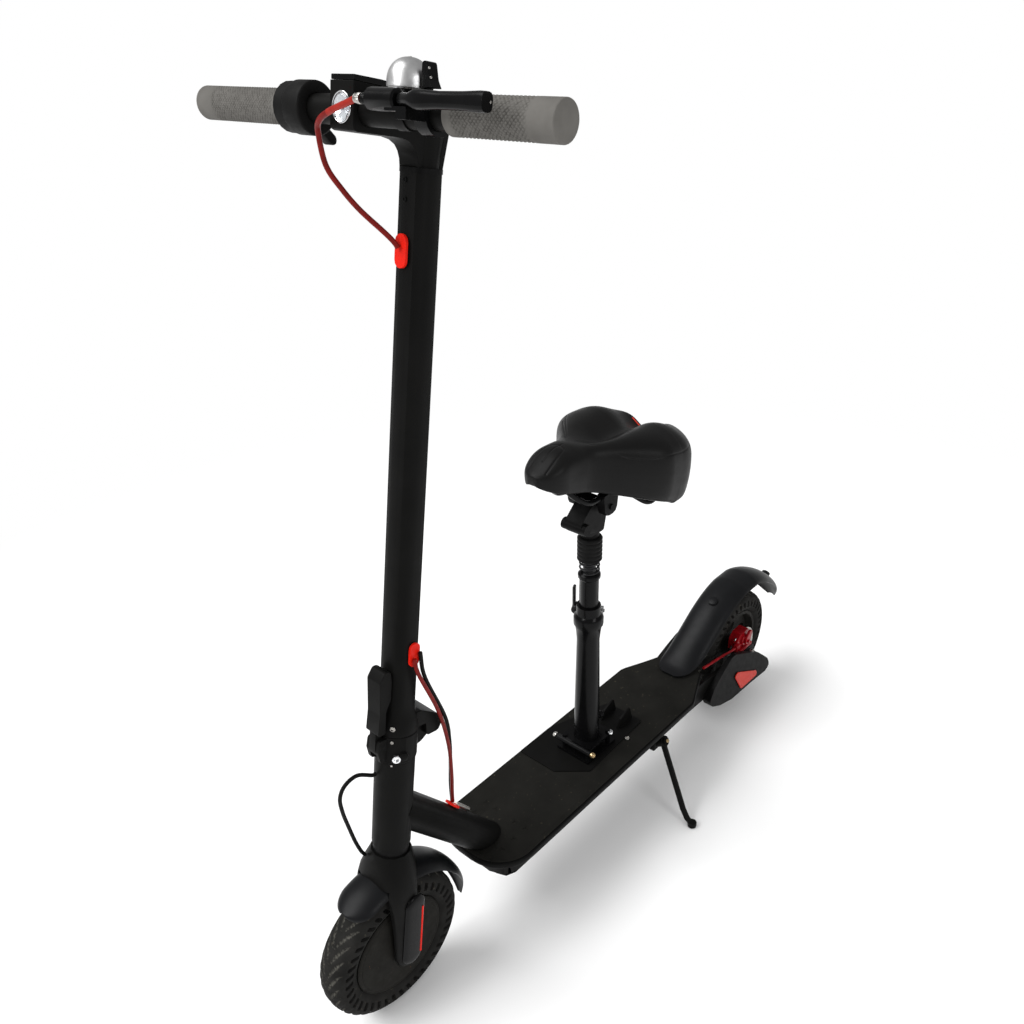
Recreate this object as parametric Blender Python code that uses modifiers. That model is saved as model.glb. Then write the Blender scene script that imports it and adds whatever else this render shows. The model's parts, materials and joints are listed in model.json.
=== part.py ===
"""Folding electric scooter with a seat on a mast. Metres, +Z up, +X forward, +Y to the rider's left.

Two frames are used. Chassis pieces are placed from the point on the floor under the rear axle. Pieces that
steer are placed in the steering frame: its Z climbs the steering axis, its X points forward, square to it.
"""
import math

import bmesh
import bpy
from mathutils import Matrix, Vector

CLEAR = 0.0003            # gap left between pieces that seat on each other
BORE_GAP = 0.0003         # radial gap of a shaft in its bore
X_AXIS = Vector((1, 0, 0))
Y_AXIS = Vector((0, 1, 0))
Z_AXIS = Vector((0, 0, 1))

# Wheels and steering geometry
WHEELBASE = 0.841
TYRE_RADIUS = 0.108
TYRE_HALF = 0.024
TREAD_HALF = 0.007
RIM_RADIUS = 0.072
WHEEL_STEPS = 36
HUB_STEPS = 24
DISC_STEPS = 30
RAKE = math.radians(11.11)
AXLE_SETBACK = 0.00724    # the front axle lies this far behind the steering axis
AXLE_RADIUS = 0.006

# Deck
DECK_TOP = 0.1505
DECK_HALF = 0.0733
DECK_FRONT = 0.697
DECK_REAR = 0.150
TAPER_START = 0.228
TAPER_X = 0.202
TAPER_HALF = 0.0615
TAIL_HALF = 0.040
FRONT_ROUND = 0.060
MAT_THICK = 0.002
MAT_INSET = 0.003
FIELD_RISE = 0.0004       # the mat's textured field for the feet stands this much proud
FIELD_REAR = 0.506
FIELD_FRONT = 0.684
FIELD_HALF = 0.0643
FIELD_NOTCH_X = 0.622     # it leaves a notch from here forward around the neck's foot
FIELD_NOTCH_HALF = 0.0275
RIM_THICK = 0.0097
TRAY_HALF = 0.051
TRAY_FLOOR = 0.0905
TRAY_REAR = 0.165
TRAY_FRONT = 0.672
TRAY_WALL = 0.0075
LID_THICK = 0.003
ROOF_THICK = 0.0027

# Neck and head tube
NECK_RADIUS = 0.024
NECK_WALL = 0.0035
NECK_FOOT = (0.659, 0.1475)
NECK_HEAD = (0.800, 0.325)
HEAD_RADIUS = 0.0241
HEAD_LOW = 0.172
HEAD_TOP = 0.302
BEARING_RADIUS = 0.0205
BEARING_TALL = 0.008
STEERER_RADIUS = 0.015

# Fork and front fender
FORK_IN = 0.029
FORK_OUT = 0.040
FORK_TOP = 0.160
FENDER_RADIUS = 0.1240
FENDER_THICK = 0.0025
FENDER_SINK = 0.013       # how far the fender's sides come down below its crown
FRONT_FENDER_HALF = 0.0275
COVER_THICK = 0.0045
COVER_HALF = 0.016
COVER_LOW = -0.014
COVER_TOP = 0.102

# Folding joint, in the steering frame
SEAM = 0.339              # the stem's socket meets the folding base here
BASE_RADIUS = 0.0255
HINGE_N = -0.042
HINGE_S = 0.333
PIN_RADIUS = 0.004
KNUCKLE_HALF = 0.0105
NOSE_HALF = 0.020
LATCH_N = 0.029
LATCH_S = 0.321
LATCH_FRONT = 0.0368
LATCH_TOP = 0.425
LATCH_HALF = 0.0108
LATCH_FOOT = 0.344
LATCH_BACK = 0.0258
TONGUE_HALF = 0.005
TONGUE_ROUND = 0.0068
BRACKET_LOW = 0.305

# Stem and head
STEM_HALF = 0.018
STEM_ROUND = 0.0135
SOCKET_TOP = 0.366
STEM_TOP = 0.917
HEAD_S = 0.956            # the handlebar's height along the steering axis
BAR_N = 0.0725            # and its distance in front of that axis
ARM_FRONT = 0.088
ARM_HALF = 0.0145
ARM_LOW = 0.9405
ARM_TOP = 0.975
BAR_RADIUS = 0.0112
BAR_HALF = 0.214
GRIP_RADIUS = 0.014
LEFT_GRIP_IN = 0.109
RIGHT_GRIP_IN = 0.0865
THROTTLE_RADIUS = 0.0205
THROTTLE_IN = 0.051
LENS_RADIUS = 0.011
LENS_S = 0.957
BUTTON_RADIUS = 0.0058
BUTTON_N = 0.028

# Brake lever, bell and cables
PERCH_N = 0.100
PERCH_S = 0.9625
PERCH_RADIUS = 0.0078
PERCH_IN = 0.048
PERCH_OUT = 0.080
LEVER_PIVOT_Y = 0.087
LEVER_TIP_Y = 0.173
BELL_Y = 0.060
BELL_RADIUS = 0.017
BELL_POST = 0.0035
BELL_BOTTOM = 0.972
CABLE_RADIUS = 0.0024
GROMMET_UPPER_S = 0.8515
GROMMET_LOWER_S = 0.441
GROMMET_LOWER_N = -0.003
GROMMET_HALF = 0.0072
GROMMET_TALL = 0.0145
GROMMET_PROUD = 0.003

# Rear end
ARM_IN = 0.044
ARM_OUT = 0.050
COVER_OUT = 0.0735
COVER_EDGE_Y = 0.0579      # the covers' outer faces start this far out at their top
COVER_LEAN = 0.159         # and lean out by this much for each metre down
REAR_FENDER_HALF = 0.032
DISC_RADIUS = 0.0445
DISC_Y = 0.031
DISC_THICK = 0.002
CALIPER_X = 0.012
CALIPER_FLOOR = 0.1245
TAIL_REACH = 0.168        # the rear fender ends this far behind the rear axle

# Kickstand
STAND_PIVOT = Vector((0.308, 0.068, 0.119))
STAND_AXIS = Vector((0.03, 0.82, 0.57)).normalized()
STAND_FOOT = (0.334, 0.1505)
STAND_LEG = 0.005
STAND_HUB = 0.009
STAND_HUB_LONG = 0.0110
STAND_PIN = 0.0035

# Seat
MAST_X = 0.422
PLATE_LOW = 0.172
PLATE_TOP = 0.176
MAST_LOW_RADIUS = 0.019
MAST_TOP_RADIUS = 0.0165
MAST_TOP = 0.420
COLLAR_LOW = 0.384
COLLAR_RADIUS = 0.0215
COLLAR_TURN = math.radians(28.6)
POST_RADIUS = 0.0136
POST_FOOT = 0.290
POST_TOP = 0.4745
BULGE_RADIUS = 0.0158
PISTON_RADIUS = 0.009
PISTON_FOOT = 0.410
SPRING_RADIUS = 0.0132
SPRING_WIRE = 0.0014
SPRING_TURNS = 7
BOOT_LOW = 0.4965
BOOT_TOP = 0.5315
BOOT_RADIUS = 0.0172
CLAMP_TOP = 0.579
TILT_X = 0.418
TILT_Z = 0.583
RAIL_RADIUS = 0.0035
SADDLE_NOSE = 0.536
SADDLE_REAR = 0.300
NOSE_START = 0.500
BASE_HALF = 0.0032       # half the thickness of the hard base under the padding

CENTRE_X = (WHEELBASE + TYRE_RADIUS - TAIL_REACH) / 2

for leftover in list(bpy.data.objects):
    bpy.data.objects.remove(leftover, do_unlink=True)
PARTS = bpy.data.collections.new("electric_scooter")
CUTTERS = bpy.data.collections.new("cutters")
bpy.context.scene.collection.children.link(PARTS)
bpy.context.scene.collection.children.link(CUTTERS)
PIVOTS = set()


def material(name, colour, roughness, metallic=0.0):
    finish = bpy.data.materials.new(name)
    finish.use_nodes = True
    shader = finish.node_tree.nodes["Principled BSDF"]
    shader.inputs["Base Color"].default_value = (*colour, 1.0)
    shader.inputs["Roughness"].default_value = roughness
    shader.inputs["Metallic"].default_value = metallic
    finish.diffuse_color = (*colour, 1.0)
    return finish


def empty(name, holder=None, at=(0, 0, 0), turn=(0, 0, 0)):
    spot = bpy.data.objects.new(name, None)
    PARTS.objects.link(spot)
    spot.parent = holder
    spot.location = at
    spot.rotation_euler = turn
    return spot


def pivot(name, frame, at):
    """An empty on a joint's axis. What hangs from it is still placed in the frame's own coordinates."""
    spot = empty(name, frame, at)
    if frame.name in PIVOTS:
        spot.matrix_parent_inverse = Matrix.Translation(-frame.location)
    PIVOTS.add(name)
    return spot


def hang(obj, holder, surface=None, helper=False):
    """Links an object, gives it its material and parent, and hides it from the render if it is a helper."""
    (CUTTERS if helper else PARTS).objects.link(obj)
    obj.parent = holder
    if holder.name in PIVOTS:
        obj.matrix_parent_inverse = Matrix.Translation(-holder.location)
    if surface is not None:
        obj.data.materials.append(surface)
    if helper:
        obj.hide_render = True
        obj.display_type = "WIRE"
    return obj


def finish_mesh(name, shape, holder, surface, at, turn, helper, smooth_deg=35):
    """Turns a bmesh into a placed object, with edges flatter than smooth_deg shaded smooth."""
    bmesh.ops.recalc_face_normals(shape, faces=shape.faces)
    mesh = bpy.data.meshes.new(name)
    shape.to_mesh(mesh)
    shape.free()
    mesh.shade_smooth()
    mesh.set_sharp_from_angle(angle=math.radians(smooth_deg))
    obj = bpy.data.objects.new(name, mesh)
    obj.location = at
    obj.rotation_euler = turn
    return hang(obj, holder, surface, helper)


def aim(direction):
    """The rotation that points local Z along a direction."""
    return Vector(direction).to_track_quat("Z", "Y").to_euler()


def bevel(obj, width):
    step = obj.modifiers.new("bevel", "BEVEL")
    step.width = width
    step.segments = 1
    step.limit_method = "ANGLE"
    step.angle_limit = math.radians(40)
    return obj


def box(name, low, high, holder, surface=None, helper=False, rounded=0.0, turn=(0, 0, 0)):
    """A block between two corners of its frame."""
    shape = bmesh.new()
    bmesh.ops.create_cube(shape, size=1.0)
    size = Vector(high) - Vector(low)
    middle = (Vector(high) + Vector(low)) / 2
    bmesh.ops.scale(shape, vec=size, verts=shape.verts)
    obj = finish_mesh(name, shape, holder, surface, middle, turn, helper)
    return bevel(obj, rounded) if rounded else obj


def rod(name, start, end, radius, holder, surface=None, helper=False, sides=12):
    """A round bar between two points."""
    start, end = Vector(start), Vector(end)
    shape = bmesh.new()
    bmesh.ops.create_cone(
        shape, cap_ends=True, segments=sides, radius1=radius, radius2=radius, depth=(end - start).length,
    )
    return finish_mesh(name, shape, holder, surface, (start + end) / 2, aim(end - start), helper)


def turned(name, profile, holder, surface=None, at=(0, 0, 0), turn=(0, 0, 0), steps=24, ring=False, helper=False):
    """A lathe shape about local Z. The profile's (radius, height) points run down its outer side."""
    shape = bmesh.new()
    points = [shape.verts.new((radius, 0, height)) for radius, height in profile]
    for first, second in zip(points, points[1:]):
        shape.edges.new((first, second))
    if ring:
        shape.edges.new((points[-1], points[0]))
    obj = finish_mesh(name, shape, holder, surface, at, turn, helper)
    spin = obj.modifiers.new("turn", "SCREW")
    spin.axis = "Z"
    spin.steps = steps
    spin.render_steps = steps
    spin.use_merge_vertices = True
    spin.merge_threshold = 0.00001
    spin.use_smooth_shade = True
    return obj


def arc(centre, radius, start_deg, end_deg, steps):
    """Points along an arc of a circle."""
    return [
        (
            centre[0] + radius * math.cos(math.radians(start_deg + (end_deg - start_deg) * i / steps)),
            centre[1] + radius * math.sin(math.radians(start_deg + (end_deg - start_deg) * i / steps)),
        )
        for i in range(steps + 1)
    ]


def rounded_outline(corners, steps=2):
    """The outline through (x, y, radius) corners with each corner turned into an arc."""
    outline = []
    for i, (x, y, radius) in enumerate(corners):
        here = Vector((x, y))
        if radius == 0:
            outline.append(here)
            continue
        before = (Vector(corners[i - 1][:2]) - here).normalized()
        after = (Vector(corners[(i + 1) % len(corners)][:2]) - here).normalized()
        half = before.angle(after) / 2
        reach = radius / math.tan(half)
        middle = here + (before + after).normalized() * radius / math.sin(half)
        first = here + before * reach - middle
        last = here + after * reach - middle
        sweep = first.angle_signed(last)
        for k in range(steps + 1):
            bend = Matrix.Rotation(-sweep * k / steps, 2)
            outline.append(middle + bend @ first)
    return outline


def mirrored(corners):
    """A whole outline from the corners on its +Y side, given from front to back."""
    return corners + [(x, -y, radius) for x, y, radius in reversed(corners)]


def plate(name, outline, thickness, holder, surface=None, at=(0, 0, 0), turn=(0, 0, 0), helper=False, rounded=0.0):
    """A flat outline with a thickness, centred on its own plane, made a mesh so that it can be cut and joined."""
    curve = bpy.data.curves.new(name, "CURVE")
    curve.dimensions = "2D"
    curve.fill_mode = "BOTH"
    curve.extrude = thickness / 2
    spline = curve.splines.new("POLY")
    spline.points.add(len(outline) - 1)
    for point, (x, y) in zip(spline.points, outline):
        point.co = (x, y, 0, 1)
    spline.use_cyclic_u = True
    return meshed(name, curve, holder, surface, at, turn, helper, rounded)


def meshed(name, curve, holder, surface, at, turn, helper, rounded=0.0):
    """Makes a curve a closed mesh, welds its caps and places it."""
    flat = bpy.data.objects.new(name + "_curve", curve)
    CUTTERS.objects.link(flat)
    graph = bpy.context.evaluated_depsgraph_get()
    mesh = bpy.data.meshes.new_from_object(flat.evaluated_get(graph))
    bpy.data.objects.remove(flat)
    shape = bmesh.new()
    shape.from_mesh(mesh)
    bmesh.ops.remove_doubles(shape, verts=shape.verts, dist=0.000001)
    obj = finish_mesh(name, shape, holder, surface, at, turn, helper)
    return bevel(obj, rounded) if rounded else obj


SIDEWAYS = (math.radians(90), 0, 0)   # lays an outline's (x, y) into a frame's (X, Z)


def side_plate(name, outline, low_y, high_y, holder, surface=None, helper=False, rounded=0.0):
    """A plate whose outline is given in (X, Z) and that fills a span of Y."""
    middle = (0, (low_y + high_y) / 2, 0)
    return plate(name, outline, high_y - low_y, holder, surface, middle, SIDEWAYS, helper, rounded)


def smooth_route(points, between=4):
    """A smooth curve through the route's points, as a Catmull-Rom spline with a few steps between them."""
    points = [Vector(point) for point in points]
    ends = [points[0] * 2 - points[1]] + points + [points[-1] * 2 - points[-2]]
    route = []
    for i in range(1, len(ends) - 2):
        a, b, c, d = ends[i - 1:i + 3]
        for k in range(between):
            t = k / between
            route.append(
                (b * 2 + (c - a) * t + (a * 2 - b * 5 + c * 4 - d) * t * t + (b * 3 - a - c * 3 + d) * t ** 3) / 2
            )
    route.append(points[-1])
    return route


def tube(name, points, radius, holder, surface=None, sides=2, helper=False):
    """A round bar along a line of points, with filled ends."""
    curve = bpy.data.curves.new(name, "CURVE")
    curve.dimensions = "3D"
    curve.bevel_depth = radius
    curve.bevel_resolution = sides
    curve.use_fill_caps = True
    spline = curve.splines.new("POLY")
    spline.points.add(len(points) - 1)
    for point, place in zip(spline.points, points):
        point.co = (*place, 1)
    if helper:
        return meshed(name, curve, holder, surface, (0, 0, 0), (0, 0, 0), helper)
    return hang(bpy.data.objects.new(name, curve), holder, surface)


def loft(name, rings, holder, surface=None, helper=False, smooth_deg=35):
    """A closed skin over rings of equal point counts, capped at both ends."""
    shape = bmesh.new()
    rows = [[shape.verts.new(point) for point in ring] for ring in rings]
    count = len(rings[0])
    for lower, upper in zip(rows, rows[1:]):
        for i in range(count):
            shape.faces.new((lower[i], lower[(i + 1) % count], upper[(i + 1) % count], upper[i]))
    shape.faces.new(rows[0])
    shape.faces.new(rows[-1])
    return finish_mesh(name, shape, holder, surface, (0, 0, 0), (0, 0, 0), helper, smooth_deg)


def rounded_section(half_x, half_y, corner, steps=3):
    """A rounded rectangle about its centre, with the same count of points whatever its sizes."""
    corner = min(corner, half_x, half_y)
    points = []
    for quarter, (side_x, side_y) in enumerate(((1, 1), (-1, 1), (-1, -1), (1, -1))):
        middle = (side_x * (half_x - corner), side_y * (half_y - corner))
        points += arc(middle, corner, 90 * quarter, 90 * quarter + 90, steps)
    return points


def join(target, *others, solver="EXACT"):
    """Welds helper solids onto a piece."""
    return combine(target, others, "UNION", solver)


def cut(target, *others, solver="EXACT"):
    """Takes helper solids out of a piece."""
    return combine(target, others, "DIFFERENCE", solver)


def combine(target, others, operation, solver):
    for other in others:
        step = target.modifiers.new(f"{operation.lower()} {other.name}", "BOOLEAN")
        step.operation = operation
        step.solver = solver
        step.object = other
    return target


BLACK = material("satin_black", (0.012, 0.012, 0.013), 0.45)
FENDER_BLACK = material("fender_black", (0.016, 0.017, 0.02), 0.35)
RUBBER = material("black_rubber", (0.020, 0.019, 0.018), 0.75)
MAT = material("deck_rubber", (0.022, 0.021, 0.020), 0.8)
TYRE = material("tyre_rubber", (0.030, 0.028, 0.026), 0.85)
HUB = material("hub_dark", (0.030, 0.028, 0.025), 0.6, 0.3)
GREY_GRIP = material("grey_grip", (0.17, 0.165, 0.155), 0.75)
RED = material("signal_red", (0.75, 0.03, 0.015), 0.4)
CALIPER_RED = material("caliper_red", (0.45, 0.01, 0.02), 0.35, 0.4)
CABLE_RED = material("cable_red", (0.25, 0.015, 0.012), 0.4)
SILVER = material("satin_silver", (0.62, 0.62, 0.62), 0.3, 1.0)
STEEL = material("steel", (0.45, 0.44, 0.43), 0.35, 1.0)
CLEAR_LENS = material("lamp_lens", (0.8, 0.82, 0.85), 0.1)
VINYL = material("black_vinyl", (0.022, 0.021, 0.021), 0.45)
CELL_BLUE = material("battery_wrap", (0.02, 0.06, 0.15), 0.5)

SCOOTER = empty("scooter", at=(-CENTRE_X, 0, 0))
STEERING = empty(
    "steering_axis", SCOOTER,
    (WHEELBASE + AXLE_SETBACK * math.cos(RAKE), 0, TYRE_RADIUS + AXLE_SETBACK * math.sin(RAKE)),
    (0, -RAKE, 0),
)
STEM = pivot("stem_pivot", STEERING, (HINGE_N, 0, HINGE_S))
REAR_AXLE = Vector((0, 0, TYRE_RADIUS))
FRONT_AXLE = Vector((-AXLE_SETBACK, 0, 0))
ABOUT_Y = (math.radians(-90), 0, 0)   # points a lathe shape's own axis along +Y
ABOUT_N = (0, math.radians(90), 0)    # and along the frame's +X


def steer(s, n, y):
    """A point of the steering frame from its height along the axis, forward distance and side."""
    return Vector((n, y, s))


# Deck casing, neck and head tube

def deck_outline(inset=0.0):
    return rounded_outline(mirrored([
        (DECK_FRONT - inset, DECK_HALF - inset, FRONT_ROUND - inset),
        (TAPER_START, DECK_HALF - inset, 0.03),
        (TAPER_X, TAPER_HALF - inset, 0.02),
        (DECK_REAR + inset, TAIL_HALF - inset, 0.008),
    ]))


CASING_TOP = DECK_TOP - MAT_THICK - CLEAR


def neck_rod(name, radius, start, end):
    """A bar along the neck's line, from one share of its length to another."""
    foot = Vector((NECK_FOOT[0], 0, NECK_FOOT[1]))
    head = Vector((NECK_HEAD[0], 0, NECK_HEAD[1]))
    return rod(name, foot.lerp(head, start), foot.lerp(head, end), radius, SCOOTER, helper=True, sides=16)


def tray_ring(inset, z):
    outline = rounded_outline(mirrored([
        (TRAY_FRONT - inset, TRAY_HALF - inset, 0.03),
        (TRAY_REAR + inset, TRAY_HALF - inset, 0.012),
    ]))
    return [(x, y, z) for x, y in outline]


def make_frame():
    rim = plate(
        "main_frame", deck_outline(), RIM_THICK, SCOOTER, BLACK, (0, 0, CASING_TOP - RIM_THICK / 2), rounded=0.0022,
    )
    tray = loft("tray", [
        tray_ring(0.007, TRAY_FLOOR), tray_ring(0.003, TRAY_FLOOR + 0.004), tray_ring(0, CASING_TOP - RIM_THICK / 2),
    ], SCOOTER, helper=True)
    head = rod(
        "head_tube", steer(HEAD_LOW, 0, 0), steer(HEAD_TOP - CLEAR, 0, 0), HEAD_RADIUS, STEERING, helper=True, sides=24,
    )
    arm = rounded_outline([
        (0.235, CASING_TOP - 0.004, 0), (0.150, 0.137, 0.02), (0.050, 0.1242, 0.02), (-0.018, 0.1242, 0.012),
        (-0.018, 0.094, 0.012), (0.050, 0.088, 0.02), (0.160, 0.096, 0.02), (0.235, 0.100, 0),
    ])
    arms = [
        side_plate("rear_arm", arm, low, high, SCOOTER, helper=True)
        for low, high in ((ARM_IN, ARM_OUT), (-ARM_OUT, -ARM_IN))
    ]
    join(rim, tray, *arms, neck_rod("neck", NECK_RADIUS, -0.12, 1.0), head, solver="MANIFOLD")
    inner = TRAY_HALF - TRAY_WALL
    hollow = box(
        "tray_hollow", (TRAY_REAR + 0.020, -inner, TRAY_FLOOR - 0.02),
        (TRAY_FRONT - 0.017, inner, CASING_TOP - ROOF_THICK), SCOOTER, helper=True,
    )
    seats = [
        rod("bearing_seat", steer(low, 0, 0), steer(high, 0, 0), BEARING_RADIUS + BORE_GAP, STEERING, helper=True,
            sides=24)
        for low, high in (
            (HEAD_LOW - 0.01, HEAD_LOW + 0.001),
            (HEAD_TOP - BEARING_TALL - CLEAR, HEAD_TOP + 0.01),
        )
    ]
    bore = rod(
        "steerer_bore", steer(HEAD_LOW - 0.02, 0, 0), steer(HEAD_TOP + 0.02, 0, 0), STEERER_RADIUS + 0.0025, STEERING,
        helper=True, sides=20,
    )
    dropouts = rod(
        "dropout_bore", REAR_AXLE - Y_AXIS * 0.08, REAR_AXLE + Y_AXIS * 0.08, AXLE_RADIUS + BORE_GAP, SCOOTER,
        helper=True,
    )
    neck_bore = neck_rod("neck_bore", NECK_RADIUS - NECK_WALL, -0.10, 0.86)
    cut(rim, hollow, neck_bore, bore, *seats, dropouts, solver="MANIFOLD")


def make_deck_pieces():
    mat = plate(
        "deck_mat", deck_outline(MAT_INSET), MAT_THICK, SCOOTER, MAT, (0, 0, DECK_TOP - MAT_THICK / 2),
    )
    cut(mat, neck_rod("neck_clearance", NECK_RADIUS + CLEAR, -0.12, 0.6))
    right_half = [
        (FIELD_NOTCH_X, FIELD_NOTCH_HALF, 0.004), (FIELD_FRONT, FIELD_NOTCH_HALF, 0), (FIELD_FRONT, FIELD_HALF, 0.036),
        (FIELD_REAR, FIELD_HALF, 0.006),
    ]
    left_half = [(x, -y, size) for x, y, size in reversed(right_half)]
    field = plate(
        "standing_field", rounded_outline(right_half + left_half), MAT_THICK, SCOOTER, helper=True,
        at=(0, 0, DECK_TOP + FIELD_RISE - MAT_THICK / 2),
    )
    join(mat, field)
    half = TRAY_HALF - 0.0065
    lid = rounded_outline(mirrored([(TRAY_FRONT - 0.010, half, 0.02), (TRAY_REAR + 0.010, half, 0.01)]))
    plate(
        "bottom_cover", lid, LID_THICK, SCOOTER, BLACK, (0, 0, TRAY_FLOOR - CLEAR - LID_THICK / 2), rounded=0.001,
    )
    floor = TRAY_FLOOR
    box("battery_pack", (0.268, -0.040, floor), (0.640, 0.040, 0.141), SCOOTER, CELL_BLUE, rounded=0.003)
    box("motor_controller", (0.196, -0.036, floor), (0.256, 0.036, 0.122), SCOOTER, STEEL, rounded=0.002)


def make_bearings():
    inner = STEERER_RADIUS + BORE_GAP
    turned("upper_bearing", [
        (BEARING_RADIUS, HEAD_TOP - CLEAR), (BEARING_RADIUS, HEAD_TOP - BEARING_TALL),
        (inner, HEAD_TOP - BEARING_TALL), (inner, HEAD_TOP - CLEAR),
    ], STEERING, STEEL, ring=True)
    low = FORK_TOP + CLEAR
    turned("lower_bearing", [
        (BEARING_RADIUS, HEAD_LOW + 0.0007), (BEARING_RADIUS, HEAD_LOW - CLEAR * 2), (0.0225, HEAD_LOW - CLEAR * 2),
        (0.0225, low), (inner, low), (inner, HEAD_LOW + 0.0007),
    ], STEERING, RUBBER, ring=True)


# Wheels

def wheel_tyre(name, holder, at, lean):
    """A round solid tyre whose flats between its section lines touch the floor at the tyre's radius."""
    out = 1 / math.cos(math.pi / WHEEL_STEPS)
    half = [
        (TYRE_RADIUS * out, TREAD_HALF), (0.1045, 0.0165), (0.0930, TYRE_HALF - 0.0008), (0.0810, 0.0225),
        (RIM_RADIUS + CLEAR, 0.0170),
    ]
    profile = [(radius, height) for radius, height in reversed(half)]
    profile += [(radius, -height) for radius, height in half]
    turn = (ABOUT_Y[0], math.pi / WHEEL_STEPS + lean, 0)
    return turned(name, profile, holder, TYRE, at, turn, WHEEL_STEPS, ring=True)


def make_wheels(front_pivot, rear_pivot):
    wheel_tyre("front_tyre", front_pivot, FRONT_AXLE, RAKE)
    wheel_tyre("rear_tyre", rear_pivot, REAR_AXLE, 0)
    bore = AXLE_RADIUS + BORE_GAP
    edge = RIM_RADIUS
    turned("front_hub", [
        (edge, 0.0185), (edge, -0.0185), (0.068, -0.0210), (0.013, -0.0245),
        (bore, -0.0245), (bore, 0.0245), (0.013, 0.0245), (0.068, 0.0210),
    ], front_pivot, HUB, FRONT_AXLE, ABOUT_Y, HUB_STEPS, ring=True)
    seat = DISC_Y - DISC_THICK / 2 - CLEAR
    hub = turned("rear_hub", [
        (edge, 0.0185), (edge, -0.0185), (0.066, -0.0185), (0.061, -0.006), (0.022, -0.006), (0.018, -0.030),
        (bore, -0.030), (bore, seat), (0.0155, seat), (0.0155, 0.012), (0.022, 0.006), (0.061, 0.006),
        (0.066, 0.0185),
    ], rear_pivot, HUB, REAR_AXLE, ABOUT_Y, HUB_STEPS, ring=True)
    disc = turned("brake_disc", [
        (DISC_RADIUS, DISC_THICK / 2), (DISC_RADIUS, -DISC_THICK / 2), (bore, -DISC_THICK / 2), (bore, DISC_THICK / 2),
    ], rear_pivot, STEEL, REAR_AXLE + Y_AXIS * DISC_Y, ABOUT_Y, DISC_STEPS, ring=True)
    for i in range(5):
        angle = 2 * math.pi * (i + 0.25) / 5
        out = Vector((math.cos(angle), 0, math.sin(angle)))
        for piece, name, reach, radius, sides in (
            (hub, f"hub_window_{i}", 0.041, 0.0135, 12), (disc, f"disc_hole_{i}", 0.030, 0.0080, 8),
        ):
            spot = REAR_AXLE + out * reach
            cut(piece, rod(name, spot - Y_AXIS * 0.02, spot + Y_AXIS * 0.04, radius, rear_pivot, helper=True, sides=sides))


# Fork, its covers and the front fender

def section_at(s, centre_n, half_n, half_y, corner):
    return [steer(s, centre_n + x, y) for x, y in rounded_section(half_n, half_y, corner)]


def make_fork():
    fork = loft("fork", [
        section_at(-0.0215, -0.0075, 0.0080, 0.0360, 0.006),
        section_at(-0.0165, -0.0075, 0.0140, 0.0385, 0.007),
        section_at(-0.0050, -0.0070, 0.0180, FORK_OUT, 0.008),
        section_at(0.0450, -0.0030, 0.0190, FORK_OUT, 0.010),
        section_at(0.0850, 0.0020, 0.0215, FORK_OUT, 0.012),
        section_at(0.1080, 0.0040, 0.0250, 0.0390, 0.016),
        section_at(0.1260, 0.0030, 0.0270, 0.0360, 0.020),
        section_at(0.1420, 0.0010, 0.0275, 0.0315, 0.023),
        section_at(0.1540, 0, 0.0270, 0.0275, 0.026),
        section_at(FORK_TOP, 0, 0.0255, 0.0255, 0.0255),
    ], STEERING, BLACK)
    wheel_room = rod(
        "wheel_room", FRONT_AXLE - Y_AXIS * FORK_IN, FRONT_AXLE + Y_AXIS * FORK_IN, FENDER_RADIUS + CLEAR, STEERING,
        helper=True, sides=48,
    )
    cut(fork, wheel_room)
    reach = Y_AXIS * (FORK_OUT - 0.004)
    axle = rod("front_axle", FRONT_AXLE - reach, FRONT_AXLE + reach, AXLE_RADIUS, STEERING, helper=True)
    steerer = rod(
        "steerer", steer(FORK_TOP - 0.01, 0, 0), steer(SEAM - 0.014, 0, 0), STEERER_RADIUS, STEERING, helper=True,
        sides=20,
    )
    join(fork, axle, steerer)
    outline = rounded_outline([
        (-0.008 - COVER_HALF, COVER_LOW, 0.009), (-0.008 + COVER_HALF, COVER_LOW, 0.009),
        (-0.008 + COVER_HALF, COVER_TOP, 0.0155), (-0.008 - COVER_HALF, COVER_TOP, 0.0155),
    ])
    inner = FORK_OUT + CLEAR
    for name, low, high in (
        ("fork_cover_left", inner, inner + COVER_THICK), ("fork_cover_right", -inner - COVER_THICK, -inner),
    ):
        side_plate(name, outline, low, high, STEERING, FENDER_BLACK, rounded=0.0015)


def sheet(name, rows, wall, holder, surface):
    """An open surface through rows of points, with its wall added on the inner side."""
    shape = bmesh.new()
    grid = [[shape.verts.new(point) for point in row] for row in rows]
    for first, second in zip(grid, grid[1:]):
        for i in range(len(first) - 1):
            shape.faces.new((first[i], first[i + 1], second[i + 1], second[i]))
    mesh = bpy.data.meshes.new(name)
    shape.to_mesh(mesh)
    shape.free()
    mesh.shade_smooth()
    obj = hang(bpy.data.objects.new(name, mesh), holder, surface)
    thicken = obj.modifiers.new("wall", "SOLIDIFY")
    thicken.thickness = wall
    thicken.offset = -1
    thicken.use_even_offset = True
    return obj


def arch_row(place, outward, half, sink):
    """Seven points across a fender: a flattened arch whose sides come down by sink."""
    row = []
    for k in range(7):
        side = -1 + k / 3
        drop = sink * (1 - math.sqrt(1 - 0.96 * side * side))
        row.append(place - outward * drop + Y_AXIS * half * side)
    return row


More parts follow.
